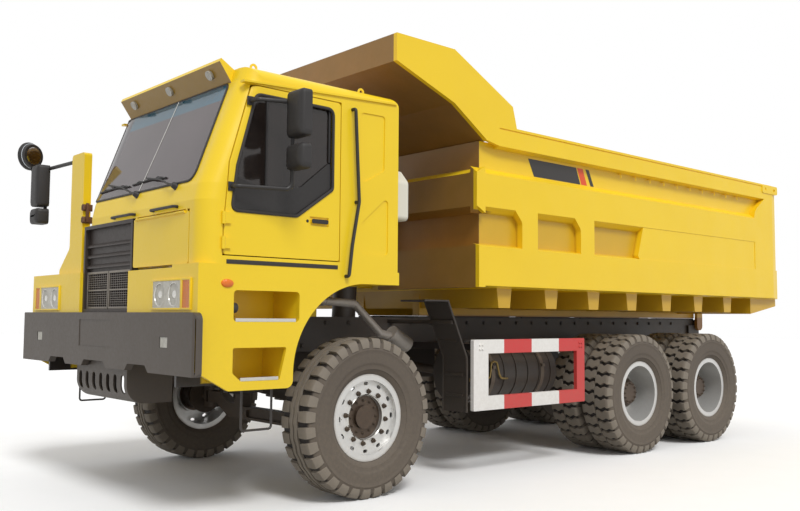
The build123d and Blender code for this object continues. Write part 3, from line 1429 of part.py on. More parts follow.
# Hoist: a barrel on its foot pin and stages drawn one inside the other
hoist_dx = hoist_head_x - hoist_foot_x
hoist_dz = hoist_head_z - hoist_foot_z
hoist_l = hypot(hoist_dx, hoist_dz)
hoist_foot = (hoist_foot_x, 0, hoist_foot_z)
hoist_plane = Plane(origin=hoist_foot, x_dir=(0, 1, 0), z_dir=(hoist_dx, 0, hoist_dz))
barrel_end = hoist_l - head_eye_r - barrel_wall - 48
with BuildPart() as hoist_barrel:
    with BuildSketch(hoist_plane.offset(barrel_start)):
        Circle(barrel_r)
    extrude(amount=barrel_end - barrel_start)
    with BuildSketch(hoist_plane.offset(stage_start)):
        Circle(barrel_r - barrel_wall + fit_gap)
    extrude(amount=barrel_end, mode=Mode.SUBTRACT)
    with BuildSketch(hoist_plane.offset(barrel_end - collar_h)):
        Circle(barrel_r + barrel_wall)
        Circle(barrel_r - barrel_wall + fit_gap, mode=Mode.SUBTRACT)
    extrude(amount=collar_h)
    with BuildSketch(hoist_plane):
        Circle(foot_eye_r - 6)
    extrude(amount=barrel_start + 10)
    round_bar("y", hoist_foot, foot_eye_r, foot_eye_w)
    round_bar("y", hoist_foot, hoist_pin_r, foot_eye_w + 2 * foot_ear_gap + 2 * foot_ear_t)
hoist_barrel.part.label = "hoist_barrel"
export_step(hoist_barrel.part, "parts/hoist_barrel.step")

# Each stage shows a little above the one outside it, and the last one ends in the head eye
for number in range(1, stage_count + 1):
    last = number == stage_count
    stage_r = barrel_r - barrel_wall - (number - 1) * stage_wall
    stage_end = barrel_end + number * stage_show
    with BuildPart() as hoist_stage:
        with BuildSketch(hoist_plane.offset(stage_start)):
            Circle(stage_r)
            if not last:
                Circle(stage_r - stage_wall + fit_gap, mode=Mode.SUBTRACT)
        extrude(amount=(hoist_l if last else stage_end) - stage_start)
        if last:
            round_bar("y", (hoist_head_x, 0, hoist_head_z), head_eye_r, head_eye_w)
    hoist_stage.part.label = "hoist_stage_" + str(number)
    export_step(hoist_stage.part, "parts/hoist_stage_" + str(number) + ".step")

# Tipping body: floor rising to the rear, crossmembers, runners, walls with their ribs, hoist bay, pivot lugs
side_in = wall_outer_half - 5
body_end_x = body_rear_x + 70
with BuildPart() as dump_body:
    side_plate(
        -wall_outer_half, wall_outer_half,
        (body_front_x, floor_z), (body_front_x, floor_top), (floor_rise_x, floor_top),
        (body_rear_x, floor_z + floor_rise), (body_rear_x, floor_z - rear_lip_drop),
        (floor_rise_x - 400, floor_z - 240), (floor_rise_x - 400, floor_z),
    )
    for number in range(cross_count):
        x = cross_first_x - number * cross_pitch
        side_plate(
            -wall_outer_half, wall_outer_half,
            (x - cross_w / 2 - cross_flare, floor_z + 5), (x - cross_w / 2, floor_z - cross_h),
            (x + cross_w / 2, floor_z - cross_h), (x + cross_w / 2 + cross_flare, floor_z + 5),
        )
    for side in (1, -1):
        outer = side * body_half
        bar(runner_rear_x, runner_front_x, side * rail_y - runner_w / 2, side * rail_y + runner_w / 2,
            runner_low, floor_z + 20)
        # Side wall, lower where the canopy stands on it
        wall_in = side * (wall_outer_half - wall_t)
        bar(body_end_x, canopy_foot_x, wall_in, side * wall_outer_half, floor_z - 10, wall_top)
        bar(canopy_foot_x - 10, body_front_x, wall_in, side * wall_outer_half, floor_z - 10, front_wall_top)
        # Skirt, middle rib and top rail, as sections seen from the front
        front_plate(
            body_rear_x + 10, body_front_x + skirt_rib_out,
            (side * side_in, skirt_low), (outer, skirt_low + 15), (outer, skirt_high - ledge_h),
            (side * side_in, skirt_high),
        )
        front_plate(
            corner_x, body_front_x + front_rib_out,
            (side * side_in, rib_low - rib_bevel), (outer, rib_low), (outer, rib_high),
            (side * side_in, rib_high + rib_bevel),
        )
        front_plate(
            body_end_x, canopy_foot_x,
            (side * side_in, top_rail_low - ledge_h), (outer, top_rail_low), (outer, wall_top),
            (side * side_in, wall_top),
        )
        bar(body_end_x, canopy_foot_x, outer - side * seam_h, outer, wall_top - 3 * seam_h, wall_top - 2 * seam_h,
            mode=Mode.SUBTRACT)
        # Corner post, posts of the lower recess and the flush panel behind them
        side_plate(
            side * side_in, outer,
            (body_end_x, skirt_high - ledge_h), (corner_x + 20, skirt_high - ledge_h), (corner_x + 20, rib_high + 90),
            (corner_x - 290, top_rail_low + 20), (body_end_x, top_rail_low + 20),
            radii=(0, 0, 160, 0, 0),
        )
        for number in range(post_count):
            x = post_first_x - number * post_pitch
            side_plate(
                side * side_in, outer,
                (x - post_w / 2, skirt_high - ledge_h), (x + post_w / 2, skirt_high - ledge_h),
                (x + post_w / 2, rib_low - post_gusset), (x + post_w / 2 + post_gusset, rib_low + 10),
                (x - post_w / 2, rib_low + 10),
                radii=(0, 0, post_gusset / 2, 0, 0),
            )
        side_plate(
            side * side_in, side * (body_half - seam_h / 2),
            (corner_x, skirt_high - ledge_h), (recess_rear_x, skirt_high - ledge_h),
            (recess_rear_x - 120, rib_low + 10), (corner_x, rib_low + 10),
            radii=(0, 40, 0, 0),
        )
        # Rear corner bevelled inwards, and the lug with two holes at its top
        flat_plate(
            skirt_low - 100, wall_top + 10,
            (body_rear_x + rear_bevel_l, outer), (body_rear_x, outer - side * rear_bevel_in),
            (body_rear_x, outer + side * 20), (body_rear_x + rear_bevel_l, outer + side * 20),
            mode=Mode.SUBTRACT,
        )
        with BuildSketch(Plane.XZ.offset(-side * (body_half - 20) - 30)):
            with Locations((body_rear_x + 270, wall_top - 60)):
                RectangleRounded(420, 110, 25)
                with GridLocations(240, 1, 2, 1):
                    Circle(20, mode=Mode.SUBTRACT)
        extrude(amount=60)
        # Pivot lug with its pin into the ear on the rail
        lug_in = rail_out_y + tip_ear_t + tip_gap
        bar(tip_pivot_x - tip_lug_r, tip_pivot_x + tip_lug_r, side * lug_in, side * (lug_in + tip_lug_t),
            tip_pivot_z, floor_z - 80)
        round_bar("y", (tip_pivot_x, side * (lug_in + tip_lug_t / 2), tip_pivot_z), tip_lug_r, tip_lug_t)
        pin_l = lug_in + tip_lug_t - rail_out_y - 1
        round_bar("y", (tip_pivot_x, side * (rail_out_y + 1 + pin_l / 2), tip_pivot_z), tip_pin_r, pin_l)
    # Front wall with its ribs
    bar(body_front_x - front_wall_t, body_front_x, -wall_outer_half, wall_outer_half, floor_z - 10, front_wall_top)
    bar(body_front_x - 5, body_front_x + skirt_rib_out, -body_half, body_half, skirt_low, skirt_high - ledge_h)
    side_plate(
        -body_half, body_half,
        (body_front_x - 5, rib_low - rib_bevel), (body_front_x + front_rib_out, rib_low),
        (body_front_x + front_rib_out, rib_high), (body_front_x - 5, rib_high + rib_bevel),
    )
    # Bay for the hoist, cut in and closed behind
    bay_top = floor_z + bay_top_up
    side_plate(
        -bay_half, bay_half,
        (body_front_x + 150, floor_z - 300), (bay_x, floor_z - 300), (bay_x, skirt_low), (bay_top_x, bay_top),
        (body_front_x + 150, bay_top),
        mode=Mode.SUBTRACT,
    )
    side_plate(
        -bay_half - bay_wall, bay_half + bay_wall,
        (bay_x - bay_wall, floor_z - 10), (bay_x, floor_z - 10), (bay_top_x, bay_top), (bay_top_x, bay_top + 80),
        (bay_top_x - 20, bay_top + 80), (bay_x - bay_wall, floor_top),
    )
    for side in (1, -1):
        side_plate(
            side * bay_half, side * (bay_half + bay_wall),
            (bay_x - 30, floor_z - 10), (body_front_x - 30, floor_z - 10), (body_front_x - 30, bay_top + 60),
            (bay_top_x - 10, bay_top + 60),
        )
        # Lugs and pin for the head of the hoist
        head_in = head_eye_w / 2 + head_lug_gap
        side_plate(
            side * head_in, side * (head_in + head_lug_t),
            (body_front_x + 100, hoist_head_z - 60), (hoist_head_x + 60, hoist_head_z - 60),
            (hoist_head_x + 60, hoist_head_z + 60), (body_front_x + 100, hoist_head_z + 60),
            radii=(0, 45, 45, 0),
        )
        pin_y = side * (head_in + head_lug_t)
        round_bar("y", (hoist_head_x, pin_y, hoist_head_z), head_pin_r, head_lug_t)
dump_body.part.label = "dump_body"
export_step(dump_body.part, "parts/dump_body.step")

# Canopy over the cab: side plates, a bent roof plate with its front lip, and ribs on top
canopy_tip_x = body_front_x + canopy_reach
canopy_top = wall_top + canopy_rise
lip_low = canopy_top - canopy_lip
fold_x = canopy_tip_x - canopy_flat
fold_low = lip_low - canopy_fold
with BuildPart() as canopy:
    for side in (1, -1):
        side_plate(
            side * (body_half - canopy_plate), side * body_half,
            (canopy_foot_x, top_rail_low), (canopy_foot_x, wall_top), (canopy_foot_x - canopy_tail, wall_top),
            (canopy_foot_x - canopy_tail + canopy_tail_step, wall_top + canopy_tail_up), (fold_x, canopy_top), (canopy_tip_x, canopy_top),
            (canopy_tip_x - 2, lip_low), (fold_x, fold_low), (body_front_x - 24, front_wall_top),
        )
    side_plate(
        -body_half + canopy_plate - 5, body_half - canopy_plate + 5,
        (body_front_x - 60, front_wall_top), (body_front_x - 24, front_wall_top), (fold_x, fold_low),
        (canopy_tip_x - 2, lip_low), (canopy_tip_x - 2, canopy_top), (canopy_tip_x - canopy_plate, canopy_top),
        (canopy_tip_x - canopy_plate, lip_low + 22), (fold_x - 10, fold_low + 35),
        (body_front_x - 50, front_wall_top + canopy_plate), (body_front_x - 60, front_wall_top + canopy_plate),
    )
    for y in (-canopy_rib_y, 0, canopy_rib_y):
        side_plate(
            y - canopy_rib_t / 2, y + canopy_rib_t / 2,
            (body_front_x + 40, front_wall_top + 70), (fold_x, fold_low + 20), (canopy_tip_x - 30, lip_low + 10),
            (canopy_tip_x - 30, canopy_top - 60), (fold_x - 60, canopy_top - 160),
        )
canopy.part.label = "canopy"
export_step(canopy.part, "parts/canopy.step")

# Doors: panel with its window hole, a frame round it, hinges and a handle; the left one carries the mirrors
window_points = (
    (window_rear_x, window_low + window_slant_h), (window_rear_x + window_slant_l, window_low),
    (window_front_x, window_low), (window_front_x - window_sash, window_bend_z),
    (door_top_x - window_sash, window_high), (window_rear_x, window_high),
)
window_radii = (40, 60, 50, 20, 60, 60)
door_outline = (
    (door_rear_x + door_gap, cab_deck_z + door_gap), (door_front_x - door_gap, cab_deck_z + door_gap),
    (door_front_x - door_gap, door_bend_z), (door_bend2_x - door_gap, door_bend2_z),
    (door_top_x - door_gap, door_head_z - door_gap), (door_rear_x + door_gap, door_head_z - door_gap),
)
for name, side, face_y in (("door_left", 1, cab_left_y), ("door_right", -1, -cab_right_y)):
    with BuildPart() as door:
        side_plate(side * (face_y - cab_wall), side * face_y, *door_outline, radii=(20, 20, 0, 0, 30, 30))
        add(cab_block.part, mode=Mode.INTERSECT)
        side_plate(side * (face_y - cab_wall), side * face_y, *window_points, radii=window_radii,
                   mode=Mode.SUBTRACT)
        # Handle in front of a shallow recess, and hinges
        bar(handle_x - handle_l / 2 - 15, handle_x + handle_l / 2 + 15, side * (face_y - 12), side * face_y,
            handle_z - 35, handle_z + 35, mode=Mode.SUBTRACT)
        bar(handle_x - handle_l / 2, handle_x + handle_l / 2, side * (face_y - 14), side * (face_y + 10),
            handle_z - 12, handle_z + 12)
        for z in (hinge_low_z, hinge_low_z + hinge_pitch):
            round_bar("z", (door_front_x, side * (face_y + hinge_r), z), hinge_r, hinge_h)
            bar(door_front_x - 60, door_front_x, side * face_y, side * (face_y + hinge_r + 2), z - 40, z + 40)
        if side > 0:
            # Mirror arms and two mirrors
            arm_root = face_y - 10
            stem_y = face_y + door_mirror_out - 90
            rod(
                (door_top_x + 10, arm_root, door_mirror_high), (door_top_x + 10, arm_root + 100, door_mirror_high),
                (door_mirror_x, stem_y, door_mirror_high), (door_mirror_x, stem_y, door_mirror_low),
                (door_bend2_x - 25, arm_root + 70, door_mirror_low), (door_bend2_x - 25, arm_root, door_mirror_low),
                bend=(40, 40, 60, 40), r=grab_r,
            )
            for z, h in ((big_mirror_z, big_mirror_h), (low_mirror_z, low_mirror_h)):
                with BuildSketch(Plane.YZ.offset(door_mirror_x - door_mirror_t / 2)):
                    with Locations((face_y + door_mirror_out, z)):
                        RectangleRounded(door_mirror_w, h, mirror_r)
                extrude(amount=door_mirror_t)
    door.part.label = name
    export_step(door.part, "parts/" + name + ".step")

# Door windows, as thick as a pane, in the middle of the door
for name, side, face_y in (("door_glass_left", 1, cab_left_y), ("door_glass_right", -1, -cab_right_y)):
    with BuildPart() as door_glass:
        mid_y = face_y - cab_wall / 2
        side_plate(side * (mid_y - pane_t / 2), side * (mid_y + pane_t / 2), *window_points, radii=window_radii)
    door_glass.part.label = name
    export_step(door_glass.part, "parts/" + name + ".step")
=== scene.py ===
from math import cos, pi, radians, sin

import bmesh
import bpy
from mathutils import Matrix, Vector


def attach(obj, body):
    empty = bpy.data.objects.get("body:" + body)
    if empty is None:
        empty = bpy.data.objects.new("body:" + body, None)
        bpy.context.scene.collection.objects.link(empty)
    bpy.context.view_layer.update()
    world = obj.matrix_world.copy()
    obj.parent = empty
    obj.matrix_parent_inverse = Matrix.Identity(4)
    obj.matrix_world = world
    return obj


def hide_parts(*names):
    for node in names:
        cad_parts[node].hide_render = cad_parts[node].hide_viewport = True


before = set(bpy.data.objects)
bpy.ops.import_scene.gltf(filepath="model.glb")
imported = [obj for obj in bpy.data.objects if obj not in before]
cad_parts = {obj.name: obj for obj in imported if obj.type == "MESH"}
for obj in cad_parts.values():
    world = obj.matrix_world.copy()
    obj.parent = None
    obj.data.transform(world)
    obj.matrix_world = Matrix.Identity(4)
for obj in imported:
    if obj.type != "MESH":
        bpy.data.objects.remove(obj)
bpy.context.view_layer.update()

# Camera: stands low off the truck's front left corner, at the height of its bumper.
# Its place and turn were worked out from the corners of the cab, the body and the wheels.


def stood(name, data):
    """Puts an object into the scene."""
    made = bpy.data.objects.new(name, data)
    bpy.context.scene.collection.objects.link(made)
    return made


camera_data = bpy.data.cameras.new("photo")
camera_data.sensor_width = 36
camera_data.lens = 39.58
camera = stood("photo", camera_data)
camera.matrix_world = (
    Matrix.Translation((7.3517, 7.1267, 1.4732))
    @ Matrix.Rotation(radians(228.4058 - 90), 4, "Z")
    @ Matrix.Rotation(radians(90 + 4.0659), 4, "X")
    @ Matrix.Rotation(radians(0.4254), 4, "Z")
)
bpy.context.scene.camera = camera
bpy.context.scene.view_settings.view_transform = "Standard"

# Studio: a white painted floor far wider than the truck, a white surround and one wide soft lamp.
# The surround looks full white to the eye, in metal and through glass, but lights more gently.


def linear(code):
    """Turns an sRGB hex colour into Blender's linear one."""
    shades = [int(code[i:i + 2], 16) / 255 for i in (1, 3, 5)]
    return (*[s / 12.92 if s < 0.04045 else ((s + 0.055) / 1.055) ** 2.4 for s in shades], 1)


def fill(tree, inputs, values):
    """Fills inputs: a plain value is set; a socket, or a node's first output in use, is linked."""
    for key, value in values.items():
        if isinstance(value, bpy.types.Node):
            value = next(output for output in value.outputs if output.enabled)
        if isinstance(value, bpy.types.NodeSocket):
            tree.links.new(value, inputs[key])
        else:
            inputs[key].default_value = value


def add(tree, kind, values=None, **settings):
    """Adds a node, sets its properties and fills its inputs by name or number."""
    made = tree.nodes.new(kind)
    for key, value in settings.items():
        setattr(made, key, value)
    fill(tree, made.inputs, values or {})
    return made


def feed(tree, values):
    """Fills the inputs of a material's shader."""
    fill(tree, tree.nodes["Principled BSDF"].inputs, values)


def begun(name):
    """Starts a material and gives its tree and the spot on the object that its patterns follow."""
    material = bpy.data.materials.new(name)
    material.use_nodes = True
    return material, material.node_tree, add(material.node_tree, "ShaderNodeTexCoord").outputs["Object"]


def looked_at(tree):
    """One for what the eye sees directly, in metal or through glass, and zero for light that only falls."""
    ray = add(tree, "ShaderNodeLightPath").outputs
    either = add(tree, "ShaderNodeMath", {0: ray["Is Camera Ray"], 1: ray["Is Glossy Ray"]}, operation="MAXIMUM")
    return add(tree, "ShaderNodeMath", {0: either, 1: ray["Is Transmission Ray"]}, operation="MAXIMUM")


floor_half = 60
floor_mesh = bpy.data.meshes.new("studio_floor")
floor_mesh.from_pydata([(x * floor_half, y * floor_half, 0) for x, y in ((-1, -1), (1, -1), (1, 1), (-1, 1))],
                       [], [(0, 1, 2, 3)])
stood("studio_floor", floor_mesh)
floor_paint, tree, place = begun("matt white floor paint")
speckle = add(tree, "ShaderNodeTexNoise", {"Vector": place, "Scale": 3.0, "Detail": 5.0})
white = add(tree, "ShaderNodeMix", {"Factor": speckle, "A": linear("#FFFFFF"), "B": linear("#FBFBFA")},
            data_type="RGBA")
shade = add(tree, "ShaderNodeMix", {"Factor": looked_at(tree), "A": linear("#A9A8A6"), "B": white}, data_type="RGBA")
feed(tree, {"Base Color": shade, "Roughness": 0.9})
floor_mesh.materials.append(floor_paint)

world = bpy.data.worlds.new("white surround")
bpy.context.scene.world = world
world.use_nodes = True
tree = world.node_tree
level = add(tree, "ShaderNodeMapRange", {"Value": looked_at(tree), "To Min": 0.66, "To Max": 1.0})
fill(tree, tree.nodes["Background"].inputs, {"Color": (1, 1, 1, 1), "Strength": level})

key = bpy.data.lights.new("key", "SUN")
key.energy = 1.9
key.angle = radians(18)
key_lamp = stood("key", key)
key_lamp.rotation_euler = (radians(40), radians(10), radians(150))

# Cab and tipping body: pressed and welded steel plate in bright chrome yellow enamel.
# Sprayed in a works booth, so glossy with slight orange peel; the plates wave gently between welds.
# Brown painted shade darkens the wall and roof plate over the cab's back, the body's recesses and its underside; road
# dust lies thinly low down.


def sprayed(name, colour, shade_colour, dust_colour, dust, rough, lacquer=0.0, metallic=0.0, wave=0.35):
    """Sprayed paint over steel: cloudy colour, dust low down, orange peel and waving plates."""
    material, tree, place = begun(name)
    cloud = add(tree, "ShaderNodeTexNoise", {"Vector": place, "Scale": 1.3, "Detail": 4.0})
    # Grime in spots of some 30 mm
    spot = add(tree, "ShaderNodeTexNoise", {"Vector": place, "Scale": 33.0, "Detail": 6.0, "Roughness": 0.65})
    shade = add(tree, "ShaderNodeMix", {"Factor": cloud, "A": linear(colour),
                                        "B": linear(shade_colour)}, data_type="RGBA")
    height = add(tree, "ShaderNodeSeparateXYZ", {"Vector": place}).outputs["Z"]
    low = add(tree, "ShaderNodeMapRange", {"Value": height, "From Min": 0.4, "From Max": 2.2,
                                           "To Min": dust, "To Max": dust * 0.12})
    amount = add(tree, "ShaderNodeMath", {0: low, 1: spot}, operation="MULTIPLY")
    dirty = add(tree, "ShaderNodeMix", {"Factor": amount, "A": shade, "B": linear(dust_colour)}, data_type="RGBA")
    gloss = add(tree, "ShaderNodeMapRange", {"Value": spot, "From Min": 0.3, "From Max": 0.75,
                                             "To Min": rough, "To Max": rough + 0.16})
    # Orange peel is 2 mm across on the real paint, drawn at 12 mm to show; plates wave over 0.4 m
    peel = add(tree, "ShaderNodeTexNoise", {"Vector": place, "Scale": 80.0, "Detail": 2.0})
    plate = add(tree, "ShaderNodeTexNoise", {"Vector": place, "Scale": 2.5, "Detail": 1.0})
    fine = add(tree, "ShaderNodeBump", {"Height": peel, "Strength": 0.06, "Distance": 0.004})
    broad = add(tree, "ShaderNodeBump", {"Height": plate, "Strength": wave, "Distance": 0.02, "Normal": fine})
    feed(tree, {"Base Color": dirty, "Roughness": gloss,
                "Metallic": metallic, "Coat Weight": lacquer, "Coat Roughness": 0.12,
                "Normal": broad})
    return material


def coat(material, *nodes):
    """Gives a CAD node's own mesh its finish."""
    for name in nodes:
        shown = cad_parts[name]
        shown.data.materials.clear()
        shown.data.materials.append(material)


yellow = sprayed("chrome yellow enamel", "#F7D41C", "#F2CC16", "#A08A58", 0.22, 0.32, lacquer=0.08)
coat(yellow, "cab_floor", "cab_roof", "cab_front", "cab_rear", "cab_quarters", "front_flap", "door_right")


def overlaid(material, colour, mask):
    """Puts another colour over a paint where the mask, made from its spot and its normal, is one."""
    tree = material.node_tree
    under = tree.nodes["Principled BSDF"].inputs["Base Color"].links[0].from_socket
    spot = add(tree, "ShaderNodeTexCoord").outputs
    x, y, z = add(tree, "ShaderNodeSeparateXYZ", {"Vector": spot["Object"]}).outputs
    out = add(tree, "ShaderNodeMath", {0: y}, operation="ABSOLUTE")
    up = add(tree, "ShaderNodeSeparateXYZ", {"Vector": spot["Normal"]}).outputs["Z"]
    amount = None
    # Each patch is a product of limits (source, from, to, strength), and the strongest patch wins
    for limits in mask:
        product = None
        for source, start, end, strength in limits:
            value = {"x": x, "y": y, "z": z, "out": out, "up": up}[source]
            step = add(tree, "ShaderNodeMapRange", {"Value": value, "From Min": start, "From Max": end,
                                                    "To Max": strength})
            product = step if product is None else add(tree, "ShaderNodeMath", {0: product, 1: step},
                                                       operation="MULTIPLY")
        amount = product if amount is None else add(tree, "ShaderNodeMath", {0: amount, 1: product},
                                                    operation="MAXIMUM")
    patch = add(tree, "ShaderNodeTexNoise", {"Vector": spot["Object"], "Scale": 5.0, "Detail": 5.0})
    over = add(tree, "ShaderNodeMix", {"Factor": patch, "A": linear(colour[0]),
                                       "B": linear(colour[1])}, data_type="RGBA")
    whole = add(tree, "ShaderNodeMix", {"Factor": amount, "A": under, "B": over}, data_type="RGBA")
    feed(tree, {"Base Color": whole})
    return material


# The visor's downward faces get a brown painted shade, the mirrors' arms are black, and the steps' inner ends are black
# below
visor_yellow_with_painted_shade = overlaid(yellow.copy(), ("#7A5524", "#8E6830"), [[("up", -0.1, -0.3, 0.85)]])
coat(visor_yellow_with_painted_shade, "sun_visor")
arm_yellow = overlaid(yellow.copy(), ("#1B1817", "#252120"),
                      [[("y", 1.651, 1.653, 1)], [("y", -0.823, -0.826, 1), ("z", 2.30, 2.31, 1)]])
coat(arm_yellow, "door_left", "mirror_mast")
step_yellow = overlaid(yellow.copy(), ("#221D1A", "#302924"),
                       [[("out", 1.586, 1.584, 1), ("x", 4.09, 4.11, 1), ("z", 1.49, 1.48, 1)],
                        [("out", 1.586, 1.584, 1), ("z", 0.985, 0.975, 1)], [("z", 0.944, 0.942, 1)]])
coat(step_yellow, "side_step_left", "deck_right")
# The tipping body has the same enamel, with brown painted shade on its front wall, the canopy's underside, its
# underside and its recesses
body_yellow = sprayed("dusty chrome yellow enamel with painted shade", "#F8D21A", "#F2CA14", "#A08A58", 0.22, 0.34, lacquer=0.06, wave=0.6)
# Painted shade: the front wall between body and cab, the canopy's downward faces and everything below z 1.5 are dark
# brown
overlaid(body_yellow, ("#5C3826", "#7E5236"), [
    [("x", 1.444, 1.449, 0.86), ("out", 1.609, 1.604, 1), ("up", 0.5, 0.2, 1)],
    [("x", 1.300, 1.400, 0.90), ("out", 1.609, 1.604, 1), ("up", -0.1, -0.3, 1)],
    [("z", 1.52, 1.50, 0.85)],
])
# Painted shade, with some grime, below the floor and in the side's lower recess; a lighter painted shade in the upper
# recess under the top rail
overlaid(body_yellow, ("#8E5A1C", "#A87226"), [
    [("z", 1.762, 1.755, 0.55)],
    [("out", 1.600, 1.575, 0.50), ("z", 2.13, 2.17, 1), ("z", 2.50, 2.44, 1), ("x", -1.2, -1.1, 1)],
    [("out", 1.600, 1.575, 0.22), ("z", 2.83, 3.06, 1), ("z", 3.10, 3.08, 1)],
])
coat(body_yellow, "dump_body", "canopy")

# Frame, its brackets and everything hung on it: folded and rolled steel in satin black chassis paint.
# Brushed or sprayed thickly, so only half glossy, and greyed all over by dried road dust.
black = sprayed("satin black chassis paint", "#1F1A18", "#29221E", "#5E5244", 0.6, 0.46)
coat(black, "frame_rails", "frame_brackets", "leaf_springs", "oil_tank", "fuel_tank", "hoist_barrel")


def meshed(name, shape):
    """Turns a bmesh into a mesh."""
    mesh = bpy.data.meshes.new(name)
    shape.to_mesh(mesh)
    shape.free()
    return mesh


def fit(name, shape, material, body, stands_for=(), corner=35):
    """Closes a bmesh into a finished piece that rides on a body."""
    bmesh.ops.remove_doubles(shape, verts=shape.verts, dist=0.00005)
    bmesh.ops.recalc_face_normals(shape, faces=shape.faces)
    mesh = meshed(name, shape)
    for each in (material if isinstance(material, tuple) else (material,)):
        mesh.materials.append(each)
    mesh.shade_smooth()
    mesh.set_sharp_from_angle(angle=radians(corner))
    made = stood(name, mesh)
    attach(made, body)
    if stands_for:
        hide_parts(*stands_for)
    return made


# Bolts along both rails: hexagon heads with washers, one row near each edge of the web.
# Each is drawn once, and one tree of Geometry Nodes repeats it along the row.
repeat = bpy.data.node_groups.new("repeats along a line or round an axle", "GeometryNodeTree")
sockets = {}
for label, kind, way in (
    ("Geometry", "NodeSocketGeometry", "INPUT"), ("Count", "NodeSocketInt", "INPUT"),
    ("Step", "NodeSocketVector", "INPUT"), ("Turn", "NodeSocketVector", "INPUT"),
    ("Place", "NodeSocketVector", "INPUT"), ("Finish", "NodeSocketMaterial", "INPUT"),
    ("Repeated", "NodeSocketGeometry", "OUTPUT"),
):
    sockets[label] = repeat.interface.new_socket(label, in_out=way, socket_type=kind).identifier
given = add(repeat, "NodeGroupInput").outputs
number = add(repeat, "GeometryNodeInputIndex").outputs["Index"]
along = add(repeat, "ShaderNodeVectorMath", {0: given["Step"], "Scale": number}, operation="SCALE")
around = add(repeat, "ShaderNodeVectorMath", {0: given["Turn"], "Scale": number}, operation="SCALE")
dots = add(repeat, "GeometryNodePoints", {"Count": given["Count"]})
dots = add(repeat, "GeometryNodeSetPosition", {"Geometry": dots, "Position": along})
one = add(repeat, "GeometryNodeGeometryToInstance", {"Geometry": given["Geometry"]})
turned_by = add(repeat, "FunctionNodeEulerToRotation", {"Euler": around})
many = add(repeat, "GeometryNodeInstanceOnPoints", {"Points": dots, "Instance": one, "Rotation": turned_by})
moved = add(repeat, "GeometryNodeTransform", {"Geometry": many, "Translation": given["Place"]})
real = add(repeat, "GeometryNodeRealizeInstances", {"Geometry": moved})
finished = add(repeat, "GeometryNodeSetMaterial", {"Geometry": real, "Material": given["Finish"]})
add(repeat, "NodeGroupOutput", {"Repeated": finished})


def frozen(made):
    """Gives an object's mesh with its modifiers applied."""
    return bpy.data.meshes.new_from_object(made.evaluated_get(bpy.context.evaluated_depsgraph_get()))


def repeated(shape, count, place, finish, step=(0, 0, 0), turn=(0, 0, 0)):
    """Runs the tree on one small shape and returns all of its repeats as a plain mesh."""
    bmesh.ops.recalc_face_normals(shape, faces=shape.faces)
    source = stood("one of many", meshed("one of many", shape))
    modifier = source.modifiers.new("repeats", "NODES")
    modifier.node_group = repeat
    for label, value in (("Count", count), ("Step", step), ("Turn", turn), ("Place", place), ("Finish", finish)):
        modifier[sockets[label]] = value
    bpy.context.view_layer.update()
    result = frozen(source)
    source.modifiers.remove(modifier)
    bpy.data.objects.remove(source)
    return result


def skin(shape, rings):
    """Joins rings of points by faces and leaves out corners that fall together."""
    made = []
    count = len(rings[0])
    for near, far in zip(rings, rings[1:]):
        for k in range(count):
            loop = (near[k], near[(k + 1) % count], far[(k + 1) % count], far[k])
            corners = [v for i, v in enumerate(loop) if v not in loop[:i]]
            if len(corners) > 2:
                made.append(shape.faces.new(corners))
    return made


def turned(shape, profile, place, count, whole=True):
    """Turns a profile of (radius, way along) round an axis; place gives each point its spot."""
    rings = []
    for r, w in profile:
        if r < 1e-6:
            rings.append([shape.verts.new(place(0, 0, w))] * count)
        else:
            rings.append([shape.verts.new(place(r * cos(2 * pi * k / count), r * sin(2 * pi * k / count), w))
                          for k in range(count)])
    skin(shape, rings + rings[:1] if whole else rings)


def beside(x, y, z, side=1):
    """Axis across the truck for a turned profile, whose way along points out to one side."""
    return lambda a, b, w: (x + a, side * (y + w), z + b)


rail_face_y = 0.4995
bolt_across = 0.030
bolt_h = 0.016
rails_fixed = bmesh.new()
for side in (1, -1):
    for z in (1.215, 1.425):
        bolt = bmesh.new()
        turned(bolt, ((0, bolt_h), (bolt_across * 0.42, bolt_h), (bolt_across * 0.55, bolt_h * 0.8),
                      (bolt_across * 0.55, 0.004)), beside(0, rail_face_y, 0, side), 6, whole=False)
        # Washer
        turned(bolt, ((bolt_across * 0.75, 0.004), (bolt_across * 0.8, 0.001), (bolt_across * 0.8, -0.002)),
               beside(0, rail_face_y, 0, side), 12, whole=False)
        rails_fixed.from_mesh(repeated(bolt, 28, (-3.55, 0, z), black, step=(0.27, 0, 0)))
fit("rail_bolts", rails_fixed, black, "chassis")

# Engine, axles, shafts and steering: sand-cast and forged iron under thin black paint.
# The grainy skin of the sand mould shows, and oily brown dirt sits on it.
iron = sprayed("painted cast iron", "#2A231F", "#382E27", "#6A5A46", 0.6, 0.6, wave=0.1)


def grained(material, scale, detail, roughness, strength, distance):
    """Puts a grain on a finish in place of the paint's own relief."""
    tree = material.node_tree
    grain = add(tree, "ShaderNodeTexNoise", {"Vector": add(tree, "ShaderNodeTexCoord").outputs["Object"],
                                             "Scale": scale, "Detail": detail, "Roughness": roughness})
    relief = add(tree, "ShaderNodeBump", {"Height": grain, "Strength": strength, "Distance": distance})
    feed(tree, {"Normal": relief})


# Sand of some 1 mm, drawn at 7 mm to show
grained(iron, 140.0, 3.0, 0.5, 0.4, 0.003)
coat(iron, "engine_block", "front_axle", "rear_axles", "propeller_shaft", "knuckle_left", "knuckle_right", "tie_rod")

# Exhaust: a bent steel pipe with a short silencer, coated in grey heat-proof aluminium paint.
# The coating is matt and burnt brown in broad patches along the pipe.
pipe_grey = sprayed("heat-proof aluminium paint", "#A9A6A0", "#8A8078", "#6E5A48", 0.5, 0.45, metallic=0.5)
coat(pipe_grey, "exhaust")

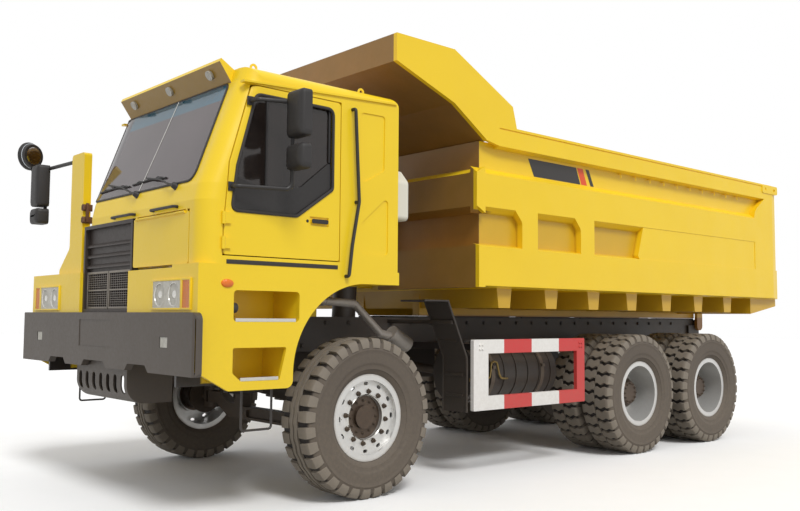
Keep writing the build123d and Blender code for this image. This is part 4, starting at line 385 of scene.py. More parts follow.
# Hoist stages: ground and hard-chromed steel tubes with a film of oil.
# They slide inside each other, so all four have the one mirror-like finish, barely waved.
chromed = sprayed("hard-chromed hoist steel", "#B4B4B6", "#A2A2A5", "#6A5F50", 0.15, 0.16, metallic=1.0, wave=0.05)
coat(chromed, "hoist_stage_1", "hoist_stage_2", "hoist_stage_3", "hoist_stage_4")

# Front bumper and the louvred guard below it: pressed steel in dark warm grey paint.
# The paint is semi-gloss, chipped and dusty low down.
bumper_grey = sprayed("warm grey bumper paint", "#3F3832", "#4A423B", "#7A6E5E", 0.35, 0.45)
coat(bumper_grey, "front_bumper", "skid_guard")

# Grille: black painted slats over two panels of grey woven wire mesh behind a steel frame.
# The wires are drawn as level bars with flat strips clamped round each panel.
grille_black = sprayed("black grille paint", "#2A2320", "#342B27", "#6A5D4E", 0.4, 0.45)
coat(grille_black, "grille")


def block(shape, low, high, edge=0.004):
    """Adds a box with rounded edges to a shape; either corner may come first."""
    low, high = zip(*(sorted(pair) for pair in zip(low, high)))
    made = bmesh.ops.create_cube(shape, size=1)["verts"]
    for v in made:
        v.co = Vector([a + (c + 0.5) * (b - a) for a, b, c in zip(low, high, v.co)])
    edges = {e for v in made for e in v.link_edges}
    bmesh.ops.bevel(shape, geom=list(edges), offset=edge, segments=2, profile=0.6, affect="EDGES")


wire_grey = sprayed("grey wire mesh", "#8C857B", "#777067", "#5B5147", 0.5, 0.4, metallic=0.6)
wires = bmesh.new()
for y0, y1 in ((-0.427, -0.007), (0.021, 0.441)):
    for z0, z1 in ((1.551, 1.683), (1.697, 1.829)):
        for k in range(1, 7):
            z = z0 + k * (z1 - z0) / 7
            block(wires, (4.283, y0, z - 0.002), (4.288, y1, z + 0.002), 0.001)
    for z, h in ((1.5405, 0.010), (1.690, 0.007), (1.8395, 0.010)):
        block(wires, (4.283, y0 - 0.006, z - h), (4.293, y1 + 0.006, z + h))
    for y in (y0, y1):
        block(wires, (4.283, y - 0.007, 1.531), (4.294, y + 0.007, 1.849))
fit("grille_mesh", wires, wire_grey, "chassis")

# Lamps: pressed reflectors behind clear ribbed glass, with amber indicators beside them.
# The glass is moulded with upright ribs; each bowl has a bright ring and a domed bulb cover.


def glassy(name, colours, cloud, haze, relief, scale, height, **way):
    """Tinted glass or clear plastic: cloudy colour, a dulling film, and ribs or ripples in its face."""
    material, tree, place = begun(name)
    film = add(tree, "ShaderNodeTexNoise", {"Vector": place, "Scale": cloud[0], "Detail": cloud[1]})
    tint = add(tree, "ShaderNodeMix", {"Factor": film, "A": linear(colours[0]), "B": linear(colours[1])},
               data_type="RGBA")
    dull = add(tree, "ShaderNodeMapRange", {"Value": film, "To Min": haze[0], "To Max": haze[1]})
    form = add(tree, relief, {"Vector": place, "Scale": scale}, **way)
    bump = add(tree, "ShaderNodeBump", {"Height": form.outputs["Fac"], "Strength": height[0], "Distance": height[1]})
    feed(tree, {"Base Color": tint, "Roughness": dull, "Normal": bump})
    return material, tree, place, film, tint


# Ribs 11 mm apart
glass_clear, tree, place, film, clear = glassy(
    "ribbed lamp glass", ("#E6E4DA", "#B0AA9A"), (26.0, 4.0), (0.06, 0.25), "ShaderNodeTexWave", 14.5, (0.6, 0.003),
    bands_direction="Y")
amber_from_y = 1.405
outer = add(tree, "ShaderNodeMath", {0: add(tree, "ShaderNodeSeparateXYZ", {"Vector": place}).outputs["Y"]},
            operation="ABSOLUTE")
amber = add(tree, "ShaderNodeMath", {0: outer, 1: amber_from_y}, operation="GREATER_THAN")
orange = add(tree, "ShaderNodeMix", {"Factor": film, "A": linear("#F08A20"), "B": linear("#DB6A12")}, data_type="RGBA")
tint = add(tree, "ShaderNodeMix", {"Factor": amber, "A": clear, "B": orange}, data_type="RGBA")
feed(tree, {"Base Color": tint, "Transmission Weight": 0.15, "IOR": 1.5})
coat(glass_clear, "headlamps")


def ahead(x, y, z, way=1):
    """Axis along the truck for a turned profile, whose way along points forward, or back where way is -1."""
    return lambda a, b, w: (x + way * w, y + a, z + b)


lamp_face_x = 4.3425
lamp_z = 1.633
bright = sprayed("bright plated steel", "#D6D5D0", "#C2C0BA", "#8A8070", 0.15, 0.12, metallic=1.0, wave=0.03)
trims = bmesh.new()
for y in (-1.275, -1.055, 1.055, 1.275):
    turned(trims, ((0.089, 0), (0.094, 0.004), (0.089, 0.0065), (0.082, 0.004), (0.080, 0)),
           ahead(lamp_face_x, y, lamp_z), 40)
    turned(trims, ((0, 0.006), (0.016, 0.0055), (0.026, 0.003), (0.030, -0.001)),
           ahead(lamp_face_x, y, lamp_z), 24, whole=False)
fit("lamp_rings", trims, bright, "chassis")

# Lamp frames: pressed steel surrounds round each head lamp, sprayed with the cab.
# The bumper's fog lamps have moulded black plastic ones; all are four strips clipped round the glass.
plastic = sprayed("moulded black plastic", "#171515", "#211E1D", "#6A5D50", 0.22, 0.5, wave=0.1)
frames = bmesh.new()
fog_frames = bmesh.new()


def surround(shape, x, y, z, inside, outside, lap, edge):
    """Four strips round an opening from y[0] to y[1] and z[0] to z[1]: two upright, then foot and head."""
    for at, near, far in ((y[0], outside, inside), (y[1], inside, outside)):
        block(shape, (x[0], at - near, z[0]), (x[1], at + far, z[1]), edge)
    for foot, head in ((z[0] - lap[0], z[0] + lap[1]), (z[1] - lap[1], z[1] + lap[0])):
        block(shape, (x[0], y[0] - outside, foot), (x[1], y[1] + outside, head), edge)


for side in (1, -1):
    for y0, y1 in ((0.945, 1.385), (1.410, 1.520)):
        surround(frames, (4.334, 4.353), sorted((side * y0, side * y1)), (1.5305, 1.7355), 0.003, 0.012,
                 (0.0115, 0.0035), 0.003)
    fog_y = side * 1.24
    surround(fog_frames, (4.388, 4.399), (fog_y - 0.060, fog_y + 0.060), (1.239, 1.331), 0.003, 0.008,
             (0.002, 0.009), 0.002)
fit("lamp_frames", frames, yellow, "chassis")
fit("bumper_lamp_frames", fog_frames, plastic, "chassis")

# Side repeater lamps: moulded amber ovals, one on each side panel near its front edge.
# The plastic is ribbed inside, which shows as fine upright lines.
amber_glass = glassy("moulded amber lamp plastic", ("#F0801E", "#D8620E"), (40.0, 3.0), (0.1, 0.3),
                     "ShaderNodeTexWave", 20.0, (0.5, 0.002), bands_direction="X")[0]
repeaters = bmesh.new()
for side in (1, -1):
    turned(repeaters, ((0, 0.020), (0.022, 0.017), (0.034, 0.010), (0.038, 0.0)),
           lambda a, b, w: (4.108 + a * 1.35, side * (1.6195 + w), 1.712 + b * 0.8), 32, whole=False)
fit("side_repeaters", repeaters, amber_glass, "chassis")

# Windscreen and rear window: laminated glass, lightly smoked, with a blue-green sun band along the top.
# A film of dry dust on it takes the light; black rubber seals hold it in the cab's openings.
screen_glass, tree, place, film, smoke = glassy(
    "laminated windscreen glass", ("#5A4D4F", "#6A5D5F"), (1.6, 5.0), (0.02, 0.12), "ShaderNodeTexNoise", 3.0,
    (0.05, 0.01))
parts = add(tree, "ShaderNodeSeparateXYZ", {"Vector": place}).outputs
front = add(tree, "ShaderNodeMath", {0: parts["X"], 1: 3.5}, operation="GREATER_THAN")
band = add(tree, "ShaderNodeMapRange", {"Value": parts["Z"], "From Min": 3.088, "From Max": 3.096})
band = add(tree, "ShaderNodeMath", {0: band, 1: front}, operation="MULTIPLY")
tint = add(tree, "ShaderNodeMix", {"Factor": band, "A": smoke, "B": linear("#44748A")}, data_type="RGBA")
clear = add(tree, "ShaderNodeMapRange", {"Value": film, "From Min": 0.3, "From Max": 0.7,
                                         "To Min": 0.42, "To Max": 0.28})
feed(tree, {"Base Color": tint, "Transmission Weight": clear, "IOR": 1.52})
coat(screen_glass, "cab_glass")


def rounded(points, r, steps=6):
    """Rounds the corners of a closed outline of flat points."""
    radii = r if isinstance(r, (tuple, list)) else [r] * len(points)
    made = []
    for k, point in enumerate(points):
        here = Vector(point)
        back = (Vector(points[k - 1]) - here).normalized()
        on = (Vector(points[(k + 1) % len(points)]) - here).normalized()
        reach = radii[k] * ((1 + back.dot(on)) / (1 - back.dot(on))) ** 0.5 if abs(back.dot(on)) < 0.999 else 0
        start, end = here + back * reach, here + on * reach
        for n in range(steps + 1):
            t = n / steps
            made.append((1 - t) ** 2 * start + 2 * t * (1 - t) * here + t ** 2 * end)
    return made


def oblong(x0, y0, x1, y1, r, steps=6):
    """Outline of a rectangle with rounded corners."""
    return rounded(((x0, y0), (x1, y0), (x1, y1), (x0, y1)), r, steps)


def tube(shape, points, r, closed=False):
    """Adds a round tube along points to a shape."""
    line = bpy.data.curves.new("tube", "CURVE")
    line.dimensions = "3D"
    spline = line.splines.new("POLY")
    spline.points.add(len(points) - 1)
    for spot, point in zip(spline.points, points):
        spot.co = (*point, 1)
    spline.use_cyclic_u = closed
    line.bevel_depth = r
    line.bevel_resolution = 3
    line.use_fill_caps = True
    drawn = bpy.data.objects.new("tube", line)
    mesh = bpy.data.meshes.new_from_object(drawn)
    shape.from_mesh(mesh)
    bpy.data.objects.remove(drawn)


def capped(shape, rings, finish=0):
    """Joins rings of points into a body and closes its ends."""
    for face in [shape.faces.new(rings[0][::-1]), shape.faces.new(rings[-1])] + skin(shape, rings):
        face.material_index = finish


def slab(shape, points, place, low, high, edge=0.002, finish=0):
    """Adds a plate with a flat outline to a shape, its rim rounded; place turns (u, v, depth) into a spot."""
    middle = sum((Vector(p) for p in points), Vector((0, 0))) / len(points)
    rings = []
    for depth, pull in ((low, edge), (low + edge, 0), (high - edge, 0), (high, edge)):
        ring = []
        for p in points:
            inward = (middle - Vector(p)).normalized() * pull
            ring.append(shape.verts.new(place(p[0] + inward.x, p[1] + inward.y, depth)))
        rings.append(ring)
    capped(shape, rings, finish)


rubber_black = sprayed("moulded rubber seal", "#1E1B1A", "#262220", "#6B5F52", 0.35, 0.55, wave=0.05)
foot_x, foot_z = 4.285, 2.430
head_x, head_z = 3.990, 3.230
lean = (head_x - foot_x) / (head_z - foot_z)
corner_r = 0.150


def on_screen(y, z, out=0.0):
    """Spot on the cab's front above the cowl, which rounds back beyond y -0.30 and 1.47."""
    beyond = max(0, -0.300 - y, y - 1.470)
    back = corner_r - (corner_r ** 2 - min(beyond, corner_r) ** 2) ** 0.5
    return (foot_x + lean * (z - foot_z) + 0.938 * out - back, y, z + 0.346 * out)


# The windscreen is bonded over the opening and dark where it covers the steel round it
bonded = overlaid(screen_glass.copy(), ("#443C3F", "#50474A"), [
    [("y", -0.19, -0.22, 1)], [("y", 1.36, 1.39, 1)], [("z", 2.49, 2.46, 1)]])
tree = bonded.node_tree
shader = tree.nodes["Principled BSDF"]
through = shader.inputs["Transmission Weight"].links[0].from_socket
rim = shader.inputs["Base Color"].links[0].from_node.inputs["Factor"].links[0].from_socket
clear = add(tree, "ShaderNodeMath", {0: 1.0, 1: rim}, operation="SUBTRACT")
clear = add(tree, "ShaderNodeMath", {0: clear, 1: through}, operation="MULTIPLY")
feed(tree, {"Transmission Weight": clear})
low, high, right, left = 2.462, 3.222, -0.375, 1.395
screen = bmesh.new()
steps, rows = 26, 12
grid = {}
for layer, out in ((0, 0.001), (1, 0.006)):
    for i in range(steps + 1):
        for k in range(rows + 1):
            # Columns pull in at the rounded corners of the sheet
            trim = {0: 0.028, 1: 0.008}.get(min(k, rows - k), 0)
            y = right + trim + (left - right - 2 * trim) * i / steps
            grid[layer, i, k] = screen.verts.new(on_screen(y, low + (high - low) * k / rows, out))
square = ((0, 0), (1, 0), (1, 1), (0, 1))
for i in range(steps):
    for k in range(rows):
        for layer in (0, 1):
            screen.faces.new([grid[layer, i + a, k + b] for a, b in square])
for i in range(steps):
    for k in (0, rows):
        screen.faces.new([grid[a, i + b, k] for b, a in square])
for k in range(rows):
    for i in (0, steps):
        screen.faces.new([grid[a, i, k + b] for b, a in square])
fit("windscreen", screen, bonded, "chassis", corner=60)
seals = bmesh.new()
screen_edge = oblong(right, low, left, high, (0.06, 0.09, 0.05, 0.05))
tube(seals, [on_screen(*p, 0.003) for p in screen_edge], 0.009, closed=True)
rear_window_x = 2.492
tube(seals, [(rear_window_x, *p) for p in oblong(-0.015, 2.580, 1.185, 3.060, 0.09)], 0.0135, closed=True)
fit("screen_seals", seals, rubber_black, "chassis")
strip = bmesh.new()
tube(strip, [on_screen(0.512, 2.468, 0.007), on_screen(0.560, 2.800, 0.007), on_screen(0.612, 3.218, 0.007)], 0.004)
fit("screen_strip", strip, bright, "chassis")

# Wipers: parked along the foot of the windscreen, arms of bent bar with rubber blades in steel carriers.
# The grab rails on the cab's front and side and the dashboard have the same satin black.
coat(plastic, "grab_rails", "dashboard")
wipers = bmesh.new()
pivot_z = 2.440
for y, tip_y, tip_z, blade in ((0.495, -0.150, 2.585, (-0.290, 0.300)), (1.145, 0.600, 2.560, (0.350, 0.940))):
    turned(wipers, ((0, 0.040), (0.014, 0.039), (0.022, 0.030), (0.026, 0.006), (0.030, 0.0)),
           lambda a, b, w: on_screen(y + a, pivot_z + b, w), 20, whole=False)
    tube(wipers, [on_screen(y, pivot_z, 0.030), on_screen(y - 0.10, 2.462, 0.030),
                  on_screen((y + tip_y) / 2, (2.470 + tip_z) / 2, 0.026), on_screen(tip_y, tip_z, 0.022)], 0.007)
    middle = sum(blade) / 2
    tube(wipers, [on_screen(tip_y, tip_z, 0.022), on_screen(middle, 2.548, 0.020)], 0.006)
    tube(wipers, [on_screen(y, z, out) for y, z, out in (
        (blade[0], 2.534, 0.012), (middle, 2.545, 0.014), (blade[1], 2.528, 0.012))], 0.007)
    for y0, y1 in ((blade[0] + 0.06, blade[0] + 0.20), (blade[1] - 0.20, blade[1] - 0.06)):
        tube(wipers, [on_screen(y0, 2.538, 0.014), on_screen((y0 + y1) / 2, 2.546, 0.024), on_screen(y1, 2.538, 0.014)],
             0.004)
fit("parked_wipers", wipers, plastic, "chassis", stands_for=("wipers",))

# Doors: the pressed lower part round each window is black, and the pane is dark tempered glass in a rubber seal.
# The black part is a thin panel screwed on; the handle is a black plastic grip over a recess.
door_glass, tree = glassy("dark tempered door glass", ("#4A403C", "#5E524C"), (2.2, 5.0), (0.02, 0.1),
                          "ShaderNodeTexNoise", 4.0, (0.04, 0.01))[:2]
feed(tree, {"Transmission Weight": 0.82, "IOR": 1.52})
coat(door_glass, "door_glass_left", "door_glass_right")
window_line = rounded(((3.180, 2.480), (3.520, 2.240), (4.085, 2.240), (4.045, 2.570), (3.895, 3.120), (3.180, 3.120)),
                      (0.04, 0.06, 0.05, 0.02, 0.06, 0.06))
cab_left_y, cab_right_y = 1.620, -0.450
for name, body, face, side in (("left", "door_l", cab_left_y, 1), ("right", "door_r", cab_right_y, -1)):
    seal = bmesh.new()
    tube(seal, [(x, face, z) for x, z in window_line], 0.013, closed=True)
    fit("window_seal_" + name, seal, rubber_black, body)
    # Black panel in the window's foot, in front of the pane, and the sash that splits the window
    panel = bmesh.new()
    slab(panel, rounded(((3.196, 2.700), (3.474, 2.471), (3.858, 2.430), (4.052, 2.494), (4.075, 2.252), (3.524, 2.252),
                         (3.192, 2.486)), 0.02, 3),
         lambda u, v, w: (u, w, v), *sorted((face - side * 0.022, face - side * 0.008)))
    for x0, x1, foot, head in ((3.196, 3.216, 2.690, 3.110), (3.780, 3.798, 2.440, 3.112)):
        block(panel, (x0, face - side * 0.024, foot), (x1, face - side * 0.010, head))
    fit("window_panel_" + name, panel, plastic, body)
    grip = bmesh.new()
    outward = sorted((face + side * 0.0085, face + side * 0.0165))
    slab(grip, oblong(3.226, 2.198, 3.384, 2.232, 0.012, 4), lambda u, v, w: (u, w, v), *outward, edge=0.003)
    # Lock beside the grip
    turned(grip, ((0, 0.006), (0.010, 0.005), (0.012, 0.001), (0.012, -0.004)),
           beside(3.418, side * face, 2.213, side), 20, whole=False)
    fit("door_grip_" + name, grip, plastic, body)

# Door mirrors: two black moulded housings on a bent tube, with silvered glass on their rear faces.
# They ride on the left door; the tube is powder-coated black steel.
silvered = sprayed("silvered mirror glass", "#C8CCD0", "#B8BEC4", "#8C8478", 0.1, 0.03, metallic=1.0, wave=0.0)


def housing(shape, x, y, z, width, height, depth, bulge):
    """Domed housing that faces forward, with a flat mirror let into its rear face."""
    half_w, half_h = width / 2, height / 2
    rings = []
    for back, pull in ((0, 0), (depth, 0), (depth + bulge * 0.5, 0.008), (depth + bulge * 0.85, 0.026),
                       (depth + bulge, 0.06)):
        edge = oblong(pull - half_w, pull - half_h, half_w - pull, half_h - pull, max(0.008, 0.035 - pull * 0.2), 5)
        rings.append([shape.verts.new((x + back, y + p.x, z + p.y)) for p in edge])
    capped(shape, rings)
    rim = 0.014
    slab(shape, oblong(rim - half_w, rim - half_h, half_w - rim, half_h - rim, 0.025, 5),
         lambda u, v, w: (x + w, y + u, z + v), -0.003, 0.004, edge=0.001, finish=1)


door_mirrors = bmesh.new()
for z, height in ((2.960, 0.344), (2.640, 0.184)):
    housing(door_mirrors, 3.6585, 1.890, z, 0.2199, height, 0.063, 0.030)
# From the door above, down past both housings and back to the door below
tube(door_mirrors, [
    (3.945, 1.612, 3.060), (3.945, 1.690, 3.060), (3.938, 1.706, 3.060), (3.918, 1.718, 3.060),
    (3.730, 1.786, 3.060), (3.700, 1.799, 3.053), (3.690, 1.800, 3.020), (3.690, 1.800, 2.450),
    (3.697, 1.798, 2.424), (3.725, 1.790, 2.410), (4.050, 1.692, 2.410), (4.078, 1.680, 2.410),
    (4.090, 1.655, 2.410), (4.090, 1.612, 2.410),
], 0.0155)
for z in (2.60, 2.69, 2.87, 3.03):
    block(door_mirrors, (3.668, 1.782, z - 0.014), (3.712, 1.830, z + 0.014), 0.004)
for x, z in ((3.945, 3.060), (4.090, 2.410)):
    block(door_mirrors, (x - 0.030, 1.618, z - 0.034), (x + 0.030, 1.628, z + 0.034), 0.003)
fit("door_mirrors", door_mirrors, (plastic, silvered), "door_l", corner=50)

# Mast mirrors: a round kerb mirror and two square ones on a tube out from the yellow post on the right.
# Their housings are black plastic, and the round one shows its polished back to the camera.
mast_mirrors = bmesh.new()
arm_x, post_y, arm_r = 4.275, -1.570, 0.0175
for z, height in ((2.730, 0.404), (2.432, 0.149)):
    housing(mast_mirrors, 4.2735, post_y, z, 0.204, height, 0.098, 0.025)
tube(mast_mirrors, [(arm_x, -0.822, 2.880), (arm_x, -1.540, 2.899), (arm_x, -1.600, 2.901), (arm_x, -1.925, 2.932),
                    (4.277, -1.955, 2.940), (4.283, -1.968, 2.965), (4.305, -1.970, 3.060)], arm_r)
tube(mast_mirrors, [(arm_x, post_y, 2.360), (arm_x, post_y, 2.900)], arm_r)
round_middle = Vector((4.305, -1.970, 3.080))
axis = Vector((-0.37, 0.93, 0)).normalized()
side_way = Vector((0.93, 0.37, 0)).normalized()


def on_round(a, b, w):
    """Spot on the round mirror, which looks back along the truck's side."""
    return tuple(round_middle + side_way * a + Vector((0, 0, b)) + axis * w)


turned(mast_mirrors, ((0.128, 0.0305), (0.1395, 0.008), (0.1417, 0.0), (0.1417, -0.006), (0.139, -0.0085),
                      (0.128, -0.0085)), on_round, 48)
fit("mast_mirrors", mast_mirrors, (plastic, silvered), "chassis", corner=50)
face = bmesh.new()
turned(face, ((0, 0.0635), (0.05, 0.0630), (0.100, 0.0590), (0.114, 0.0560), (0.122, 0.040), (0.129, 0.030)), on_round,
       48, whole=False)
turned(face, ((0, -0.0088), (0.08, -0.0087), (0.131, -0.0082)), on_round, 48, whole=False)
fit("round_mirror_glass", face, silvered, "chassis")

# Side panels' steps: pressed aluminium treads screwed along the foot of each opening, edges rolled up.
# A black rubber stop sits at the front of each upper opening and a black sill runs under the door.
tread_metal = sprayed("worn tread aluminium", "#D9D8D2", "#C4C1B8", "#8F826E", 0.5, 0.3, metallic=0.55, wave=0.05)
treads = bmesh.new()
stops = bmesh.new()
step_boxes = bmesh.new()
stud_pitch = 0.042
for side in (1, -1):
    for x0, x1, z in ((3.500, 4.034, 1.437), (3.650, 3.985, 1.010)):
        block(treads, (x0, side * 1.500, z + 0.0005), (x1, side * 1.605, z + 0.008), 0.002)
        block(treads, (x0 + 0.01, side * 1.607, z + 0.0005), (x1, side * 1.6195, z + 0.026), 0.003)
        stud = bmesh.new()
        turned(stud, ((0, 0.004), (0.006, 0.0035), (0.009, 0.0)),
               lambda a, b, w: (a, side * 1.545 + b, w), 10, whole=False)
        treads.from_mesh(repeated(stud, int((x1 - x0) / stud_pitch), (x0 + 0.03, 0, z + 0.0075), tread_metal,
                                  step=(stud_pitch, 0, 0)))
    turned(stops, ((0, 0.030), (0.028, 0.029), (0.036, 0.022), (0.040, 0.0), (0.040, -0.02)),
           ahead(4.022, side * 1.560, 1.538, -1), 28, whole=False)
    # Inner sheets that close the openings into boxes, as ranges of x, y and z: four above, three below
    for x, y, z in (
        ((3.468, 3.476), (1.255, 1.592), (1.4155, 1.690)), ((3.474, 3.562), (1.255, 1.592), (1.4155, 1.4365)),
        ((3.474, 3.562), (1.245, 1.257), (1.4155, 1.690)), ((3.474, 4.060), (1.258, 1.592), (1.688, 1.696)),
        ((3.5655, 3.5725), (1.258, 1.592), (0.975, 1.283)), ((3.570, 3.6005), (1.258, 1.592), (0.975, 1.0105)),
        ((3.570, 4.060), (1.258, 1.592), (1.275, 1.283)),
    ):
        block(step_boxes, (x[0], side * y[0], z[0]), (x[1], side * y[1], z[1]), 0.0015)
# Sill under the left door
block(stops, (3.120, 1.6005, 1.852), (4.120, 1.6245, 1.884), 0.004)
fit("step_boxes", step_boxes, yellow, "chassis")
fit("step_treads", treads, tread_metal, "chassis")
fit("step_stops", stops, rubber_black, "chassis")

# Mast bracket: folded steel clips on the post's inner side, coloured brown as painted shade.
# Its two clips are joined by an upright strip.
clip_shade_brown = sprayed("brown painted shade on mast clips", "#6A4630", "#5A3A28", "#8A7560", 0.4, 0.6)
clips = bmesh.new()
for z in (2.32, 2.43):
    block(clips, (4.226, -0.546, z - 0.030), (4.318, -0.528, z + 0.030), 0.004)
    block(clips, (4.300, -0.560, z - 0.022), (4.318, -0.500, z + 0.022), 0.004)
block(clips, (4.262, -0.530, 2.300), (4.290, -0.512, 2.470), 0.004)
fit("mast_clips", clips, clip_shade_brown, "chassis")

# Expansion tank: blow-moulded milky polyethylene.
# The plastic is soft, dull and gone a little yellow.
milky = sprayed("milky polyethylene", "#E4E2D6", "#D6D2C0", "#9A8E78", 0.35, 0.38, wave=0.15)
coat(milky, "expansion_tank")

# Fuel tank fittings: two strap bands with their bolts over the ribbed steel drum, and a brass return pipe.
# The straps are galvanised strip, dulled by dirt; the pipe is bent brass tube.
strap_metal = sprayed("dull galvanised strip", "#5A5148", "#6A6056", "#6A5D4C", 0.6, 0.5, metallic=0.5, wave=0.1)
straps = bmesh.new()
drum_y, drum_z = 0.950, 0.930
strap_in, strap_out, strap_half = 0.2985, 0.3025, 0.026
for x in (0.150, 0.900):
    turned(straps, ((strap_in, -strap_half), (strap_out, -strap_half), (strap_out, strap_half),
                    (strap_in, strap_half)), ahead(x, drum_y, drum_z), 64)
    block(straps, (x - 0.020, 1.232, 0.985), (x + 0.020, 1.268, 1.015), 0.003)
fit("tank_straps", straps, strap_metal, "chassis")
brass = sprayed("tarnished brass tube", "#94804E", "#7E6A40", "#6A5A40", 0.4, 0.35, metallic=0.9, wave=0.0)
pipe = bmesh.new()
tube(pipe, [(1.180, 1.245, 0.885), (1.095, 1.258, 0.884), (1.010, 1.262, 0.887), (0.968, 1.262, 0.905),
            (0.955, 1.262, 0.960), (0.950, 1.262, 1.020), (0.938, 1.260, 1.046), (0.900, 1.256, 1.055),
            (0.862, 1.256, 1.046), (0.848, 1.258, 1.010), (0.830, 1.262, 0.930), (0.800, 1.262, 0.892),
            (0.740, 1.258, 0.884), (0.690, 1.245, 0.882)], 0.011)
block(pipe, (1.165, 1.205, 0.868), (1.195, 1.262, 0.902), 0.004)
fit("tank_pipe", pipe, brass, "chassis")

# Mudguards before the rear axles: folded sheet steel with edges rolled over wire, painted with the frame.
# Each hangs from a bar bolted to the rail and ends at the side guard's line.
mud_sheets = bmesh.new()
mud_inner_y, mud_outer_y = 1.100, 1.425
upper_line = ((1.990, 1.640), (1.690, 1.640), (1.440, 1.110), (1.440, 0.607))
lower_line = ((1.990, 1.628), (1.698, 1.628), (1.452, 1.107), (1.452, 0.607))
for side in (1, -1):
    capped(mud_sheets, [[mud_sheets.verts.new((x, side * y, z)) for (x, z), y in (
        (upper, mud_inner_y), (upper, mud_outer_y), (lower, mud_outer_y), (lower, mud_inner_y))]
        for upper, lower in zip(upper_line, lower_line)])
    for y in (mud_inner_y + 0.009, mud_outer_y - 0.009):
        tube(mud_sheets, [Vector(((a[0] + b[0]) / 2 + 0.003, side * y, (a[1] + b[1]) / 2 - (k < 2) * 0.003))
                          for k, (a, b) in enumerate(zip(upper_line, lower_line))], 0.009)
    # Pressed stiffening folds across the steep panel and the flap
    for x, z in ((1.600, 1.437), (1.520, 1.268), (1.446, 0.950), (1.446, 0.760)):
        block(mud_sheets, (x - 0.004, side * 1.150, z - 0.012), (x + 0.016, side * 1.375, z + 0.012), 0.004)
    block(mud_sheets, (1.570, side * 0.498, 1.420), (1.630, side * 1.400, 1.460), 0.003)
fit("mudguard_sheets", mud_sheets, black, "chassis", stands_for=("mudguards",))

# Packing strips: tarred rubber laid along both rails, for the tipping body's runners to land on.
# They lie between the steel pads and are glued down, a little lower than the runners.
packing = bmesh.new()
for side in (1, -1):
    for x0, x1 in ((-0.195, 0.995), (-1.295, -0.405), (-2.995, -1.505), (-4.145, -3.205)):
        block(packing, (x0, side * 0.402, 1.4795), (x1, side * 0.497, 1.498), 0.004)
fit("rail_packing", packing, rubber_black, "chassis")

# Side guards: folded steel bars bolted to arms, painted in red and white bands of retroreflective enamel.
# The bands are masked and sprayed, so their edges are sharp; dust dulls the lower bar.
guard = sprayed("red and white signal enamel", "#D9262E", "#C81E26", "#8F826E", 0.45, 0.34)
tree = guard.node_tree
dusty = tree.nodes["Principled BSDF"].inputs["Base Color"].links[0].from_node
red = dusty.inputs["A"].links[0].from_socket
way = add(tree, "ShaderNodeSeparateXYZ", {"Vector": add(tree, "ShaderNodeTexCoord").outputs["Object"]}).outputs["X"]
guard_rear_x, guard_front_x = -0.27, 1.41
share = add(tree, "ShaderNodeMapRange", {"Value": way, "From Min": guard_rear_x, "From Max": guard_front_x})
bands = add(tree, "ShaderNodeValToRGB", {"Fac": share})
bands.color_ramp.interpolation = "CONSTANT"
bands.color_ramp.elements.new(0.5)
bands.color_ramp.elements.new(0.75)
# Band edges at x 0.156, 0.580 and 0.985: red at the rear, then white, red and white
for stop, (x, white) in zip(bands.color_ramp.elements, ((guard_rear_x, 0), (0.156, 1), (0.580, 0), (0.985, 1))):
    stop.position = (x - guard_rear_x) / (guard_front_x - guard_rear_x)
    stop.color = (white, white, white, 1)
banded = add(tree, "ShaderNodeMix", {"Factor": bands, "A": red, "B": linear("#F4F2EE")}, data_type="RGBA")
fill(tree, dusty.inputs, {"A": banded})
overlaid(guard, ("#1F1A18", "#2A2320"), [[("out", 1.4285, 1.4270, 1)]])
coat(guard, "side_guards")
guard_bolts = bmesh.new()
for side in (1, -1):
    for x in (-0.205, 1.310):
        for z in (1.190, 1.230):
            bolt = bmesh.new()
            turned(bolt, ((0, 0.010), (0.010, 0.010), (0.013, 0.007), (0.013, -0.001)),
                   beside(0, 1.470, 0, side), 6, whole=False)
            guard_bolts.from_mesh(repeated(bolt, 2, (x - 0.018, 0, z), guard, step=(0.036, 0, 0)))
fit("guard_bolts", guard_bolts, guard, "chassis")

# Stripes on the body's sides: cut from coloured self-adhesive film, black with an orange red slash.
# They are pressed on the flat of the upper recess, above the rib, and lie almost flush with it.
film_black = sprayed("black adhesive film", "#1C1918", "#242020", "#8F826E", 0.25, 0.3, wave=0.1)
film_orange = sprayed("orange red adhesive film", "#E0521C", "#D24614", "#8F826E", 0.25, 0.3, wave=0.1)
stripes = bmesh.new()
stripe_top, stripe_foot = 3.044, 2.874
for side in (1, -1):
    # Front and rear ends at the top, then rear and front ends at the foot
    for a, b, c, d, finish in ((0.750, -0.014, -0.088, 0.661, 0), (-0.031, -0.128, -0.200, -0.104, 1),
                               (-0.176, -0.232, -0.318, -0.262, 0)):
        slab(stripes, ((a, stripe_top), (b, stripe_top), (c, stripe_foot), (d, stripe_foot)),
             lambda u, v, w: (u, side * w, v), 1.5695, 1.5715, edge=0.0003, finish=finish)
fit("body_stripes", stripes, (film_black, film_orange), "tipper")

# Tarpaulin hooks under the top rail: bent round bar welded to the body's side, painted with it.
# Ten stand in a row along each side.
hooks = bmesh.new()
for side in (1, -1):
    hook = bmesh.new()
    tube(hook, [(0, side * y, z) for y, z in ((1.568, 3.062), (1.596, 3.060), (1.606, 3.052), (1.608, 3.030),
                                              (1.604, 3.016))], 0.006)
    hooks.from_mesh(repeated(hook, 10, (-3.330, 0, 0), body_yellow, step=(0.285, 0, 0)))
fit("tarpaulin_hooks", hooks, body_yellow, "tipper")

# Wheel discs and rims: pressed and welded steel in silver wheel paint, with dark greasy hubs at their middle.
# Colour goes by the distance from each wheel's own middle: hub, silver disc, then mud caked at the rim's edge.
axle_z = 0.655
mud_r = 0.338


